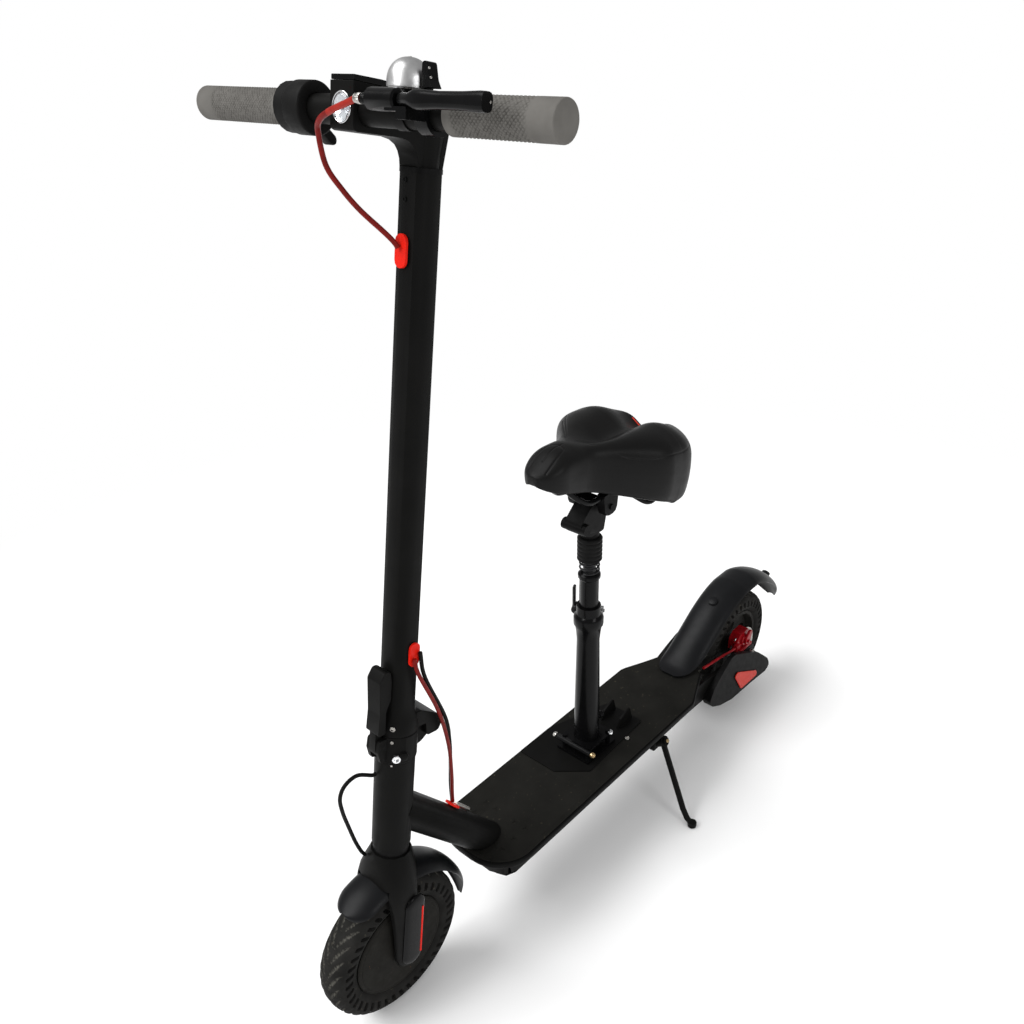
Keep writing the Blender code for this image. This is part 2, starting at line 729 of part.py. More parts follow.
def make_front_fender():
    """An arch about the front axle, rounded in front and running out to a point behind."""
    front, back, steps = 40, -92, 15
    rows = []
    for i in range(steps + 1):
        t = i / steps
        bearing = math.radians(front + (back - front) * t)
        nose = 0.45 + 0.55 * math.sin(min(1.0, t / 0.14) * math.pi / 2)
        tail = 1 - 0.93 * max(0.0, (t - 0.62) / 0.38) ** 1.5
        half = FRONT_FENDER_HALF * min(nose, tail)
        lift = 0.006 * max(0.0, (t - 0.7) / 0.3) ** 2
        outward = Vector((math.sin(bearing), 0, math.cos(bearing)))
        place = FRONT_AXLE + outward * (FENDER_RADIUS + lift)
        rows.append(arch_row(place, outward, half, FENDER_SINK * half / FRONT_FENDER_HALF))
    sheet("front_fender", rows, FENDER_THICK, STEERING, FENDER_BLACK)


# Folding base and latch

def make_folding_base():
    base = rod("fold_base", steer(HEAD_TOP, 0, 0), steer(SEAM - CLEAR, 0, 0), BASE_RADIUS, STEERING, BLACK, sides=24)
    bevel(base, 0.0012)
    knuckle = side_plate("base_knuckle", rounded_outline([
        (-0.015, SEAM - 0.004, 0), (HINGE_N + 0.002, HINGE_S + 0.0085, 0.004), (-0.0525, HINGE_S + 0.001, 0.006),
        (-0.0505, HINGE_S - 0.011, 0.006), (-0.031, HINGE_S - 0.024, 0.006), (-0.015, HEAD_TOP + 0.004, 0),
    ]), -KNUCKLE_HALF, KNUCKLE_HALF, STEERING, helper=True)
    bracket = side_plate("latch_bracket", rounded_outline([
        (0.012, SEAM - 0.003, 0), (LATCH_N + 0.005, SEAM - 0.003, 0.004), (LATCH_FRONT - 0.0012, LATCH_S, 0.004),
        (LATCH_FRONT - 0.006, BRACKET_LOW, 0.004), (0.012, BRACKET_LOW, 0),
    ]), -LATCH_HALF + 0.0004, LATCH_HALF - 0.0004, STEERING, helper=True)
    pin_hole = rod(
        "hinge_bore", steer(HINGE_S, HINGE_N, -0.03), steer(HINGE_S, HINGE_N, 0.03), PIN_RADIUS + BORE_GAP, STEERING,
        helper=True, sides=12,
    )
    bolt = turned("base_bolt", [
        (0, 0.0045), (0.0035, 0.0045), (0.0055, 0.0035), (0.0062, 0.0010), (0.0062, -0.012), (0, -0.012),
    ], STEERING, at=steer(0.3135, 0.0085, 0.0235), turn=aim((0.36, 0.93, 0)), steps=6, helper=True)
    join(base, knuckle, bracket, bolt)
    steerer_room = rod(
        "steerer_room", steer(HEAD_TOP - 0.02, 0, 0), steer(SEAM - 0.0135, 0, 0), STEERER_RADIUS + BORE_GAP, STEERING,
        helper=True, sides=20,
    )
    slot = box(
        "latch_slot", (LATCH_N - TONGUE_ROUND - 0.0005, -TONGUE_HALF - CLEAR, HEAD_TOP - 0.02),
        (LATCH_FRONT + 0.02, TONGUE_HALF + CLEAR, SEAM + 0.02), STEERING, helper=True,
    )
    cut(base, pin_hole, steerer_room, slot)
    pin = rod(
        "latch_pin", steer(LATCH_S, LATCH_N, -0.0092), steer(LATCH_S, LATCH_N, 0.0092), PIN_RADIUS, STEERING,
        helper=True, sides=12,
    )
    join(base, pin)


def make_latch():
    holder = pivot("latch_pivot", STEERING, (LATCH_N, 0, LATCH_S))
    latch = side_plate("fold_latch", rounded_outline([
        (LATCH_BACK, LATCH_FOOT, 0.002), (LATCH_FRONT, LATCH_FOOT, 0.003), (LATCH_FRONT - 0.002, 0.372, 0.02),
        (LATCH_FRONT, 0.414, 0.005), (0.0300, LATCH_TOP, 0.004), (0.0215, LATCH_TOP - 0.001, 0.004),
        (STEM_HALF + 0.0014, 0.410, 0.006), (STEM_HALF + 0.0014, 0.388, 0.006), (LATCH_BACK, 0.374, 0.006),
    ]), -LATCH_HALF, LATCH_HALF, holder, BLACK, rounded=0.0016)
    tongue = side_plate("latch_tongue", rounded_outline([
        (LATCH_N - TONGUE_ROUND, LATCH_S - TONGUE_ROUND, TONGUE_ROUND * 0.98),
        (LATCH_N + TONGUE_ROUND, LATCH_S - TONGUE_ROUND, TONGUE_ROUND * 0.98),
        (LATCH_N + TONGUE_ROUND, LATCH_FOOT + 0.008, 0), (LATCH_BACK + 0.0010, LATCH_FOOT + 0.008, 0),
        (LATCH_BACK + 0.0010, SEAM - 0.006, 0.002), (LATCH_N - TONGUE_ROUND, LATCH_S + 0.002, 0.002),
    ]), -TONGUE_HALF, TONGUE_HALF, holder, helper=True)
    join(latch, tongue, solver="MANIFOLD")
    cut(latch, rod(
        "latch_bore", steer(LATCH_S, LATCH_N, -0.03), steer(LATCH_S, LATCH_N, 0.03), PIN_RADIUS + BORE_GAP, holder,
        helper=True, sides=12,
    ), solver="MANIFOLD")


# Stem, head and dash

def make_stem():
    stem = loft("stem_tube", [
        section_at(SEAM, 0, 0.0248, 0.0248, 0.0215),
        section_at(0.347, 0, 0.0246, 0.0246, 0.0205),
        section_at(0.357, 0, 0.0222, 0.0222, 0.018),
        section_at(SOCKET_TOP, 0, 0.0188, 0.0188, 0.0145),
        section_at(0.380, 0, 0.0184, 0.0184, STEM_ROUND),
        section_at(0.600, 0, STEM_HALF, STEM_HALF, STEM_ROUND),
        section_at(STEM_TOP - CLEAR, 0, 0.0172, 0.0172, STEM_ROUND),
    ], STEM, BLACK)
    nose = side_plate("socket_nose", rounded_outline([
        (-0.012, SEAM + 0.001, 0), (-0.012, 0.362, 0), (-0.020, 0.3615, 0.004), (-0.0475, 0.3465, 0.012),
        (-0.0550, 0.3320, 0.007), (-0.0500, 0.3215, 0.006), (-0.0315, 0.3215, 0.004), (-0.0285, SEAM + 0.001, 0),
    ]), -NOSE_HALF, NOSE_HALF, STEM, helper=True)
    knuckle_room = side_plate("knuckle_room", rounded_outline([
        (-0.0262, 0.31, 0), (-0.0262, SEAM, 0), (-0.030, 0.3452, 0.003), (-0.054, 0.3452, 0.003), (-0.070, 0.34, 0),
        (-0.070, 0.31, 0),
    ]), -KNUCKLE_HALF - CLEAR, KNUCKLE_HALF + CLEAR, STEM, helper=True)
    pin = rod(
        "hinge_pin", steer(HINGE_S, HINGE_N, -NOSE_HALF + 0.001), steer(HINGE_S, HINGE_N, NOSE_HALF - 0.001),
        PIN_RADIUS, STEM, helper=True, sides=12,
    )
    bevel(nose, 0.004)
    join(stem, nose)
    cut(stem, knuckle_room)
    join(stem, pin)
    hollow = loft("stem_hollow", [
        section_at(0.385, 0, 0.0150, 0.0150, 0.0105),
        section_at(STEM_TOP + 0.01, 0, 0.0142, 0.0142, 0.0105),
    ], STEM, helper=True)
    upper_port = box(
        "upper_port", (0, -0.005, GROMMET_UPPER_S - 0.012), (0.03, 0.005, GROMMET_UPPER_S + 0.012), STEM, helper=True,
    )
    lower_port = box(
        "lower_port", (GROMMET_LOWER_N - 0.005, 0, GROMMET_LOWER_S - 0.012),
        (GROMMET_LOWER_N + 0.005, 0.03, GROMMET_LOWER_S + 0.012), STEM, helper=True,
    )
    cut(stem, hollow, upper_port, lower_port)


def make_head():
    profile = [
        (-0.0172, STEM_TOP), (0.0172, STEM_TOP), *arc((0.0395, STEM_TOP + 0.0015), 0.0215, 180, 95, 5),
        (ARM_FRONT - 0.006, ARM_LOW), *arc((ARM_FRONT - 0.004, ARM_LOW + 0.004), 0.004, -90, 0, 2),
        (ARM_FRONT, ARM_TOP + 0.0005), (-0.008, ARM_TOP - 0.0035), *arc((-0.0092, ARM_TOP - 0.0165), 0.0125, 90, 180, 4),
    ]
    head = side_plate("stem_head", profile, -ARM_HALF, ARM_HALF, STEM, BLACK, rounded=0.003)
    neck = loft("head_neck", [
        section_at(STEM_TOP, 0, 0.0172, 0.0172, STEM_ROUND),
        section_at(0.932, -0.0005, 0.0180, 0.0172, STEM_ROUND),
        section_at(0.952, -0.0020, 0.0200, 0.0165, 0.013),
        section_at(0.966, -0.0030, 0.0180, 0.0152, 0.012),
    ], STEM, helper=True)
    plug = loft("head_plug", [
        section_at(STEM_TOP - 0.040, 0, 0.0138, 0.0138, 0.0100), section_at(STEM_TOP + 0.01, 0, 0.0138, 0.0138, 0.0100),
    ], STEM, helper=True)
    join(head, neck, plug)
    bar_room = rod(
        "bar_room", steer(HEAD_S, BAR_N, -0.04), steer(HEAD_S, BAR_N, 0.04), BAR_RADIUS + BORE_GAP, STEM, helper=True,
        sides=20,
    )
    lens_room = rod(
        "lens_room", steer(LENS_S, ARM_FRONT - 0.0035, 0), steer(LENS_S, ARM_FRONT + 0.01, 0), LENS_RADIUS + CLEAR,
        STEM, helper=True, sides=20,
    )
    button_room = rod(
        "button_room", steer(0.962, BUTTON_N, 0), steer(1.0, BUTTON_N, 0), BUTTON_RADIUS + 0.0004, STEM, helper=True,
    )
    cut(head, bar_room, lens_room, button_room)
    turned("headlight_lens", [
        (0, 0.0028), (0.004, 0.0024), (0.008, 0.0012), (LENS_RADIUS, 0), (LENS_RADIUS, -0.0030), (0, -0.0030),
    ], STEM, CLEAR_LENS, steer(LENS_S, ARM_FRONT, 0), ABOUT_N, 20)
    cover = side_plate("dash_cover", [
        (-0.016, ARM_TOP - 0.0034), (ARM_FRONT - 0.0005, ARM_TOP + 0.0008), (ARM_FRONT - 0.0005, ARM_TOP + 0.0046),
        (0.060, ARM_TOP + 0.0040), (0.020, ARM_TOP + 0.0010), (-0.013, ARM_TOP - 0.0010),
    ], -ARM_HALF + 0.0005, ARM_HALF - 0.0005, STEM, FENDER_BLACK)
    cut(cover, rod(
        "cover_button_room", steer(0.962, BUTTON_N, 0), steer(1.0, BUTTON_N, 0), BUTTON_RADIUS + 0.0004, STEM,
        helper=True,
    ))
    holder = pivot("button_pivot", STEM, (BUTTON_N, 0, 0.970))
    turned("power_button", [
        (0, 0.0062), (0.0045, 0.0060), (BUTTON_RADIUS, 0.0050), (BUTTON_RADIUS, -0.0050), (0, -0.0050),
    ], holder, RUBBER, steer(ARM_TOP - 0.0025, BUTTON_N, 0), steps=16)


def bar_piece(name, profile, holder, surface, steps=18, ring=True):
    """A lathe shape about the handlebar; heights in the profile are distances along +Y."""
    return turned(name, profile, holder, surface, steer(HEAD_S, BAR_N, 0), ABOUT_Y, steps, ring)


def make_bar():
    wall = 0.0022
    bar_piece("handlebar", [
        (BAR_RADIUS, BAR_HALF - 0.0040), (BAR_RADIUS, -BAR_HALF + 0.0040), (BAR_RADIUS - wall, -BAR_HALF + 0.0040),
        (BAR_RADIUS - wall, BAR_HALF - 0.0040),
    ], STEM, BLACK)
    bore = BAR_RADIUS + CLEAR
    for name, inner, sign in (("grip_left", LEFT_GRIP_IN, 1), ("grip_right", RIGHT_GRIP_IN, -1)):
        end = BAR_HALF - 0.0037
        profile = [
            (0, BAR_HALF), (GRIP_RADIUS - 0.0012, BAR_HALF), (GRIP_RADIUS, BAR_HALF - 0.0012),
            (GRIP_RADIUS, inner + 0.0015), (GRIP_RADIUS - 0.001, inner), (bore, inner), (bore, end), (0, end),
        ]
        if sign < 0:
            profile = [(radius, -height) for radius, height in reversed(profile)]
        bar_piece(name, profile, STEM, GREY_GRIP, ring=False)
    outer = -RIGHT_GRIP_IN + CLEAR
    bar_piece("throttle_housing", [
        (THROTTLE_RADIUS - 0.001, -THROTTLE_IN), (THROTTLE_RADIUS, -THROTTLE_IN - 0.001),
        (THROTTLE_RADIUS, outer + 0.013), (THROTTLE_RADIUS - 0.007, outer + 0.013), (THROTTLE_RADIUS - 0.007, outer),
        (bore, outer), (bore, -THROTTLE_IN),
    ], STEM, BLACK, steps=20)
    holder = pivot("throttle_pivot", STEM, (BAR_N, 0, HEAD_S))
    ring = bar_piece("throttle_lever", [
        (THROTTLE_RADIUS - 0.0010, outer + 0.0125), (THROTTLE_RADIUS - 0.0010, outer + 0.0005),
        (THROTTLE_RADIUS - 0.0064, outer + 0.0005), (THROTTLE_RADIUS - 0.0064, outer + 0.0125),
    ], holder, RUBBER, steps=20)
    low, high = outer + 0.0005, outer + 0.0125
    paddle = side_plate("throttle_paddle", rounded_outline([
        (BAR_N - 0.016, HEAD_S - 0.002, 0.002), (BAR_N - 0.016, HEAD_S - 0.012, 0.002),
        (BAR_N - 0.036, HEAD_S - 0.028, 0.004), (BAR_N - 0.041, HEAD_S - 0.021, 0.004),
    ]), low, high, holder, helper=True, rounded=0.002)
    join(ring, paddle)


def make_brake_lever():
    perch = rod(
        "brake_perch", steer(PERCH_S, PERCH_N, PERCH_IN), steer(PERCH_S, PERCH_N, PERCH_OUT), PERCH_RADIUS, STEM, BLACK,
    )
    bevel(perch, 0.0015)
    clamp = turned("perch_clamp", [
        (0.0152, 0.0065), (0.0152, -0.0065), (BAR_RADIUS - 0.001, -0.0065), (BAR_RADIUS - 0.001, 0.0065),
    ], STEM, at=steer(HEAD_S, BAR_N, 0.0885), turn=ABOUT_Y, steps=20, ring=True, helper=True)
    web = box(
        "perch_web", (BAR_N + 0.010, 0.0832, HEAD_S - 0.006), (PERCH_N + 0.0058, 0.0941, PERCH_S - 0.0053), STEM,
        helper=True,
    )
    neck = box(
        "perch_neck", (PERCH_N - 0.0052, 0.0700, PERCH_S - 0.0074), (PERCH_N + 0.0052, 0.0932, PERCH_S - 0.0044), STEM,
        helper=True,
    )
    barrel = turned("cable_adjuster", [
        (0, 0.0085), (0.0032, 0.0085), (0.0040, 0.0075), (0.0040, 0.0030), (0.0030, 0.0020), (0.0030, -0.004),
        (0, -0.004),
    ], STEM, at=steer(PERCH_S, PERCH_N, PERCH_IN), turn=(math.radians(90), 0, 0), steps=12, helper=True)
    join(perch, clamp, web, neck, barrel, solver="MANIFOLD")
    cut(perch, rod(
        "perch_bar_room", steer(HEAD_S, BAR_N, 0.03), steer(HEAD_S, BAR_N, 0.12), BAR_RADIUS + CLEAR, STEM, helper=True,
        sides=20,
    ), solver="MANIFOLD")
    pin = rod(
        "lever_pin", steer(PERCH_S - 0.0055, PERCH_N, LEVER_PIVOT_Y), steer(PERCH_S + 0.0045, PERCH_N, LEVER_PIVOT_Y),
        0.0022, STEM, helper=True, sides=12,
    )
    join(perch, pin, solver="MANIFOLD")
    holder = pivot("lever_pivot", STEM, (PERCH_N, LEVER_PIVOT_Y, PERCH_S))
    root = LEVER_PIVOT_Y - 0.0053
    stations = [
        (root, 0.0040, 0.0042, 0), (root + 0.003, 0.0062, 0.0042, 0), (0.0950, 0.0072, 0.0042, 0.0010),
        (0.1040, 0.0070, 0.0065, 0.0030), (0.1140, 0.0056, 0.0062, 0.0045), (0.1270, 0.0046, 0.0056, 0.0052),
        (0.1500, 0.0048, 0.0058, 0.0056), (0.1680, 0.0056, 0.0064, 0.0060), (LEVER_TIP_Y, 0.0054, 0.0062, 0.0062),
    ]
    rings = []
    for y, half_n, half_s, forward in stations:
        rings.append([
            steer(PERCH_S + 0.0002 + b, PERCH_N + forward + a, y)
            for a, b in rounded_section(half_n, half_s, 0.0038, steps=3)
        ])
    lever = loft("brake_lever", rings, holder, BLACK)
    cut(lever, rod(
        "lever_bore", steer(PERCH_S - 0.02, PERCH_N, LEVER_PIVOT_Y), steer(PERCH_S + 0.02, PERCH_N, LEVER_PIVOT_Y),
        0.0022 + BORE_GAP, holder, helper=True, sides=12,
    ))


def make_bell():
    top = BELL_BOTTOM + 0.0205
    dome = turned("bell_dome", [
        (0, top), (0.0052, top - 0.0006), (0.0100, top - 0.0028), (0.0145, top - 0.0075), (BELL_RADIUS, top - 0.0160),
        (BELL_RADIUS, BELL_BOTTOM), (BELL_RADIUS - 0.0015, BELL_BOTTOM), (BELL_RADIUS - 0.0015, top - 0.0155),
        (0.0130, top - 0.0090), (0.0060, top - 0.0040), (0, top - 0.0035),
    ], STEM, SILVER, steer(0, BAR_N, BELL_Y), steps=16)
    strap_outer = BAR_RADIUS + 0.0012
    post = rod(
        "bell_post", steer(HEAD_S + BAR_RADIUS + CLEAR, BAR_N, BELL_Y), steer(top - 0.002, BAR_N, BELL_Y), BELL_POST,
        STEM, helper=True, sides=12,
    )
    strap = turned("bell_strap", [
        (strap_outer, 0.0060), (strap_outer, -0.0060), (BAR_RADIUS + CLEAR, -0.0060), (BAR_RADIUS + CLEAR, 0.0060),
    ], STEM, at=steer(HEAD_S, BAR_N, BELL_Y), turn=ABOUT_Y, steps=20, ring=True, helper=True)
    join(dome, post, strap)
    holder = pivot("bell_pivot", STEM, (BAR_N, BELL_Y, BELL_BOTTOM))
    bore = BELL_POST + BORE_GAP
    low, high = BELL_BOTTOM - 0.0032, BELL_BOTTOM - 0.0005
    ring = turned(
        "bell_lever", [(0.0080, high), (0.0080, low), (bore, low), (bore, high)], holder, BLACK,
        steer(0, BAR_N, BELL_Y), steps=16, ring=True,
    )
    inner = BELL_Y + BELL_RADIUS + 0.0012
    reach = box(
        "bell_reach", (BAR_N - 0.004, BELL_Y + 0.006, low + 0.0001), (BAR_N + 0.004, inner + 0.0020, high - 0.0001),
        holder, helper=True,
    )
    wing = plate("bell_wing", rounded_outline([
        (inner, low + 0.0002, 0), (inner + 0.0027, low + 0.0002, 0), (inner + 0.0033, BELL_BOTTOM + 0.0006, 0),
        (inner + 0.0120, BELL_BOTTOM + 0.0006, 0), (inner + 0.0085, BELL_BOTTOM + 0.0060, 0.006),
        (inner + 0.0055, BELL_BOTTOM + 0.0175, 0.0022), (inner, BELL_BOTTOM + 0.0175, 0.002),
    ]), 0.010, holder, at=(BAR_N, 0, 0), turn=(math.radians(90), 0, math.radians(90)), helper=True, rounded=0.0008)
    join(ring, reach, wing)


# Cables and grommets

def grommet(name, holder, middle, outward, along, half, tall, stubbed=True):
    """An oval rubber plug lying on a face, with a stub that fills the hole behind it."""
    outline = rounded_outline([
        (half, tall, half * 0.95), (-half, tall, half * 0.95), (-half, -tall, half * 0.95), (half, -tall, half * 0.95),
    ], steps=3)
    across = Vector(along).cross(outward)
    turn = Matrix((across, along, outward)).transposed().to_euler()
    plug = plate(name, outline, GROMMET_PROUD, holder, RED, Vector(middle) + Vector(outward) * GROMMET_PROUD / 2, turn,
                 rounded=0.001)
    if not stubbed:
        return plug
    stub = plate(name + "_stub", rounded_outline([
        (0.0045, 0.0115, 0.003), (-0.0045, 0.0115, 0.003), (-0.0045, -0.0115, 0.003), (0.0045, -0.0115, 0.003),
    ]), 0.0034, holder, at=Vector(middle) - Vector(outward) * 0.0013, turn=turn, helper=True)
    return join(plug, stub)


def neck_point(x, lift=0.0, y=0.0):
    """A point above the neck's upper line, at x, raised square to it."""
    slope = Vector((NECK_HEAD[0] - NECK_FOOT[0], 0, NECK_HEAD[1] - NECK_FOOT[1])).normalized()
    square = Vector((-slope.z, 0, slope.x))
    foot = Vector((NECK_FOOT[0], 0, NECK_FOOT[1]))
    top = math.sqrt(NECK_RADIUS ** 2 - y ** 2) + lift
    length = (x - foot.x - square.x * top) / slope.x
    return foot + slope * length + square * top + Y_AXIS * y, slope, square


def to_chassis(point):
    """A steering-frame point in the chassis frame."""
    turned_point = Matrix.Rotation(-RAKE, 3, "Y") @ Vector(point)
    return turned_point + STEERING.location


def make_cables():
    face = STEM_HALF + CLEAR
    grommet("upper_grommet", STEM, steer(GROMMET_UPPER_S, face, 0), X_AXIS, Z_AXIS, GROMMET_HALF, GROMMET_TALL)
    grommet(
        "lower_grommet", STEM, steer(GROMMET_LOWER_S, GROMMET_LOWER_N, face + 0.0003), Y_AXIS, Z_AXIS, GROMMET_HALF,
        GROMMET_TALL,
    )
    spot, slope, square = neck_point(0.7115)
    plug = grommet("neck_grommet", SCOOTER, spot + square * CLEAR, square, slope, 0.0075, 0.0125, stubbed=False)
    sleeve_start = spot - slope * 0.006 + square * 0.0040
    sleeve = rod("cable_sleeve", sleeve_start, sleeve_start - slope * 0.036 - square * 0.0006, 0.0026, SCOOTER,
                 helper=True, sides=12)
    join(plug, sleeve)
    start = PERCH_IN - 0.0085 - CLEAR
    upper = [
        steer(PERCH_S, PERCH_N, start), steer(PERCH_S, PERCH_N, start - 0.006), steer(0.9585, PERCH_N, 0.019),
        steer(0.9530, 0.0985, -0.0015), steer(0.9470, 0.0960, -0.017), steer(0.9385, 0.0900, -0.0270),
        steer(0.9145, 0.0790, -0.0310), steer(0.8975, 0.0650, -0.0275), steer(0.8820, 0.0500, -0.0210),
        steer(0.8660, 0.0330, -0.0085), steer(0.8585, 0.0260, -0.0030),
        steer(0.8540, face + GROMMET_PROUD + CLEAR + 0.0022, 0),
    ]
    tube("brake_cable_upper", smooth_route(upper, 2), CABLE_RADIUS, STEM, CABLE_RED)
    lying = face + GROMMET_PROUD + 2 * CLEAR + CABLE_RADIUS
    end, slope, square = neck_point(0.7135)
    out = to_chassis(steer(GROMMET_LOWER_S - 0.003, GROMMET_LOWER_N + 0.003, lying))
    lower = [
        out, Vector((0.7630, 0.0275, 0.5190)), Vector((0.7420, 0.0290, 0.4540)), Vector((0.7265, 0.0230, 0.3870)),
        Vector((0.7175, 0.0130, 0.3250)), Vector((0.7130, 0.0050, 0.2800)), end + square * (GROMMET_PROUD + 0.0025),
    ]
    tube("brake_cable_lower", smooth_route(lower, 2), CABLE_RADIUS, SCOOTER, CABLE_RED)
    foot, slope, square = neck_point(0.7020, y=-0.012)
    out = to_chassis(steer(GROMMET_LOWER_S + 0.003, GROMMET_LOWER_N - 0.005, lying))
    power = [
        out, Vector((0.7530, 0.0255, 0.5080)), Vector((0.7295, 0.0255, 0.4340)), Vector((0.7180, 0.0160, 0.3800)),
        Vector((0.7100, 0.0040, 0.3300)), Vector((0.7040, -0.0070, 0.2800)), foot + square * (CLEAR + 0.0022),
    ]
    tube("power_cable", smooth_route(power, 2), CABLE_RADIUS, SCOOTER, RUBBER)
    motor = [
        steer(0.280, HEAD_RADIUS + 2 * CLEAR, -0.005), steer(0.2802, 0.0300, -0.005), steer(0.2900, 0.0520, -0.006),
        steer(0.2845, 0.0695, -0.006), steer(0.2685, 0.0755, -0.007), steer(0.2440, 0.0695, -0.009),
        steer(0.2150, 0.0580, -0.012), steer(0.1850, 0.0455, -0.015), steer(0.1620, 0.0345, -0.0165),
        steer(0.1490, 0.0258, -0.0186),
    ]
    tube("motor_cable", smooth_route(motor, 2), CABLE_RADIUS, STEERING, RUBBER)


# Rear end

def cover_ring(y, inset):
    """The wheel cover's outline at a distance from the middle: a long wedge with its highest part over the arm."""
    outline = rounded_outline([
        (0.158 - inset, 0.1000, 0.008), (0.140, 0.1185 - inset, 0.010), (0.110, 0.1350 - inset, 0.020),
        (0.080, 0.1485 - inset, 0.008), (0.066, 0.1475 - inset, 0.008), (-0.008, 0.1120 - inset, 0.030),
        (-0.044 + inset, 0.0790 - inset, 0.010), (-0.0505 + inset, 0.0640, 0.006), (-0.033, 0.0550 + inset, 0.010),
        (0.0235, 0.0600 + inset, 0.030), (0.087, 0.0635 + inset, 0.030), (0.127, 0.0745 + inset, 0.020),
        (0.150 - inset, 0.0865 + inset, 0.008),
    ], steps=2)
    return [Vector((x, y, z)) for x, z in outline]


def make_rear_end():
    fender_rows = []
    stations = [
        (0.1955, 0.1537, 0.0110, 0.0002), (0.1915, 0.1541, 0.0185, 0.0004), (0.1830, 0.1556, 0.0250, 0.0020),
        (0.1700, 0.1612, 0.0290, 0.0070), (0.1450, 0.1765, 0.0315, 0.0150),
        *((x, z, REAR_FENDER_HALF, 0.0170) for x, z in (
            (0.1100, 0.2020), (0.0800, 0.2230), (0.0450, 0.2405), (0.0080, 0.2500), (-0.0300, 0.2500),
            (-0.0660, 0.2380),
        )),
        (-0.0970, 0.2190, 0.0310, 0.0170), (-0.1250, 0.1935, 0.0280, 0.0140), (-0.1475, 0.1650, 0.0200, 0.0100),
        (-TAIL_REACH, 0.1330, 0.0060, 0.0030),
    ]
    spots = [Vector((x, 0, z)) for x, z, half, sink in stations]
    for i, (spot, (x, z, half, sink)) in enumerate(zip(spots, stations)):
        ahead = spots[min(i + 1, len(spots) - 1)] - spots[max(i - 1, 0)]
        outward = Vector((ahead.z, 0, -ahead.x)).normalized()
        fender_rows.append(arch_row(spot, outward, half, sink))
    fender = sheet("rear_fender", fender_rows, 0.0025, SCOOTER, FENDER_BLACK)
    plug = rod("fender_plug", (0.0600, 0, 0.2280), (0.0650, 0, 0.2385), 0.0085, SCOOTER, helper=True)
    bevel(plug, 0.0015)
    hook = rod("fender_hook", (-0.1180, 0, 0.1900), (-0.1325, 0, 0.2000), 0.0078, SCOOTER, helper=True)
    bevel(hook, 0.002)
    join(fender, plug, hook)
    axle_end = 0.0590
    turned("rear_axle", [
        (0, axle_end), (AXLE_RADIUS, axle_end), (AXLE_RADIUS, ARM_OUT + 0.0068), (0.0100, ARM_OUT + 0.0068),
        (0.0100, ARM_OUT + CLEAR), (AXLE_RADIUS, ARM_OUT + CLEAR), (AXLE_RADIUS, -ARM_OUT - CLEAR),
        (0.0100, -ARM_OUT - CLEAR), (0.0100, -ARM_OUT - 0.0068), (AXLE_RADIUS, -ARM_OUT - 0.0068),
        (AXLE_RADIUS, -axle_end), (0, -axle_end),
    ], SCOOTER, STEEL, REAR_AXLE, ABOUT_Y, 12)
    for side, sign in (("left", 1), ("right", -1)):
        cover = loft("rear_cover_" + side, [
            cover_ring(sign * y, inset) for y, inset in (
                (ARM_OUT + CLEAR, 0), (COVER_OUT - 0.0060, 0), (COVER_OUT, 0.0035),
            )
        ], SCOOTER, BLACK)
        nut_room = rod(
            "nut_room", REAR_AXLE + Y_AXIS * sign * 0.040, REAR_AXLE + Y_AXIS * sign * 0.0605, 0.0125, SCOOTER,
            helper=True,
        )
        back = -X_AXIS * sign
        outward = Vector((0, sign, COVER_LEAN)).normalized()
        turn = Matrix((back, outward.cross(back), outward)).transposed().to_euler()
        face = empty("cover_face_" + side, SCOOTER, (0.100, sign * COVER_EDGE_Y, 0.1485), turn)
        slope = box("cover_slope", (-0.4, -0.2, 0), (0.4, 0.2, 0.1), face, helper=True)
        cut(cover, nut_room, slope, solver="MANIFOLD")
        glass = rounded_outline([
            (sign * 0.0230, -0.0425, 0.004), (sign * 0.0336, -0.0379, 0.005), (sign * 0.0955, -0.0690, 0.004),
            (sign * 0.0995, -0.0800, 0.004), (sign * 0.0415, -0.0785, 0.006),
        ])
        plate("rear_reflector_" + side, glass, 0.0021, face, RED, (0, 0, CLEAR + 0.00105), rounded=0.0007)
    make_caliper()


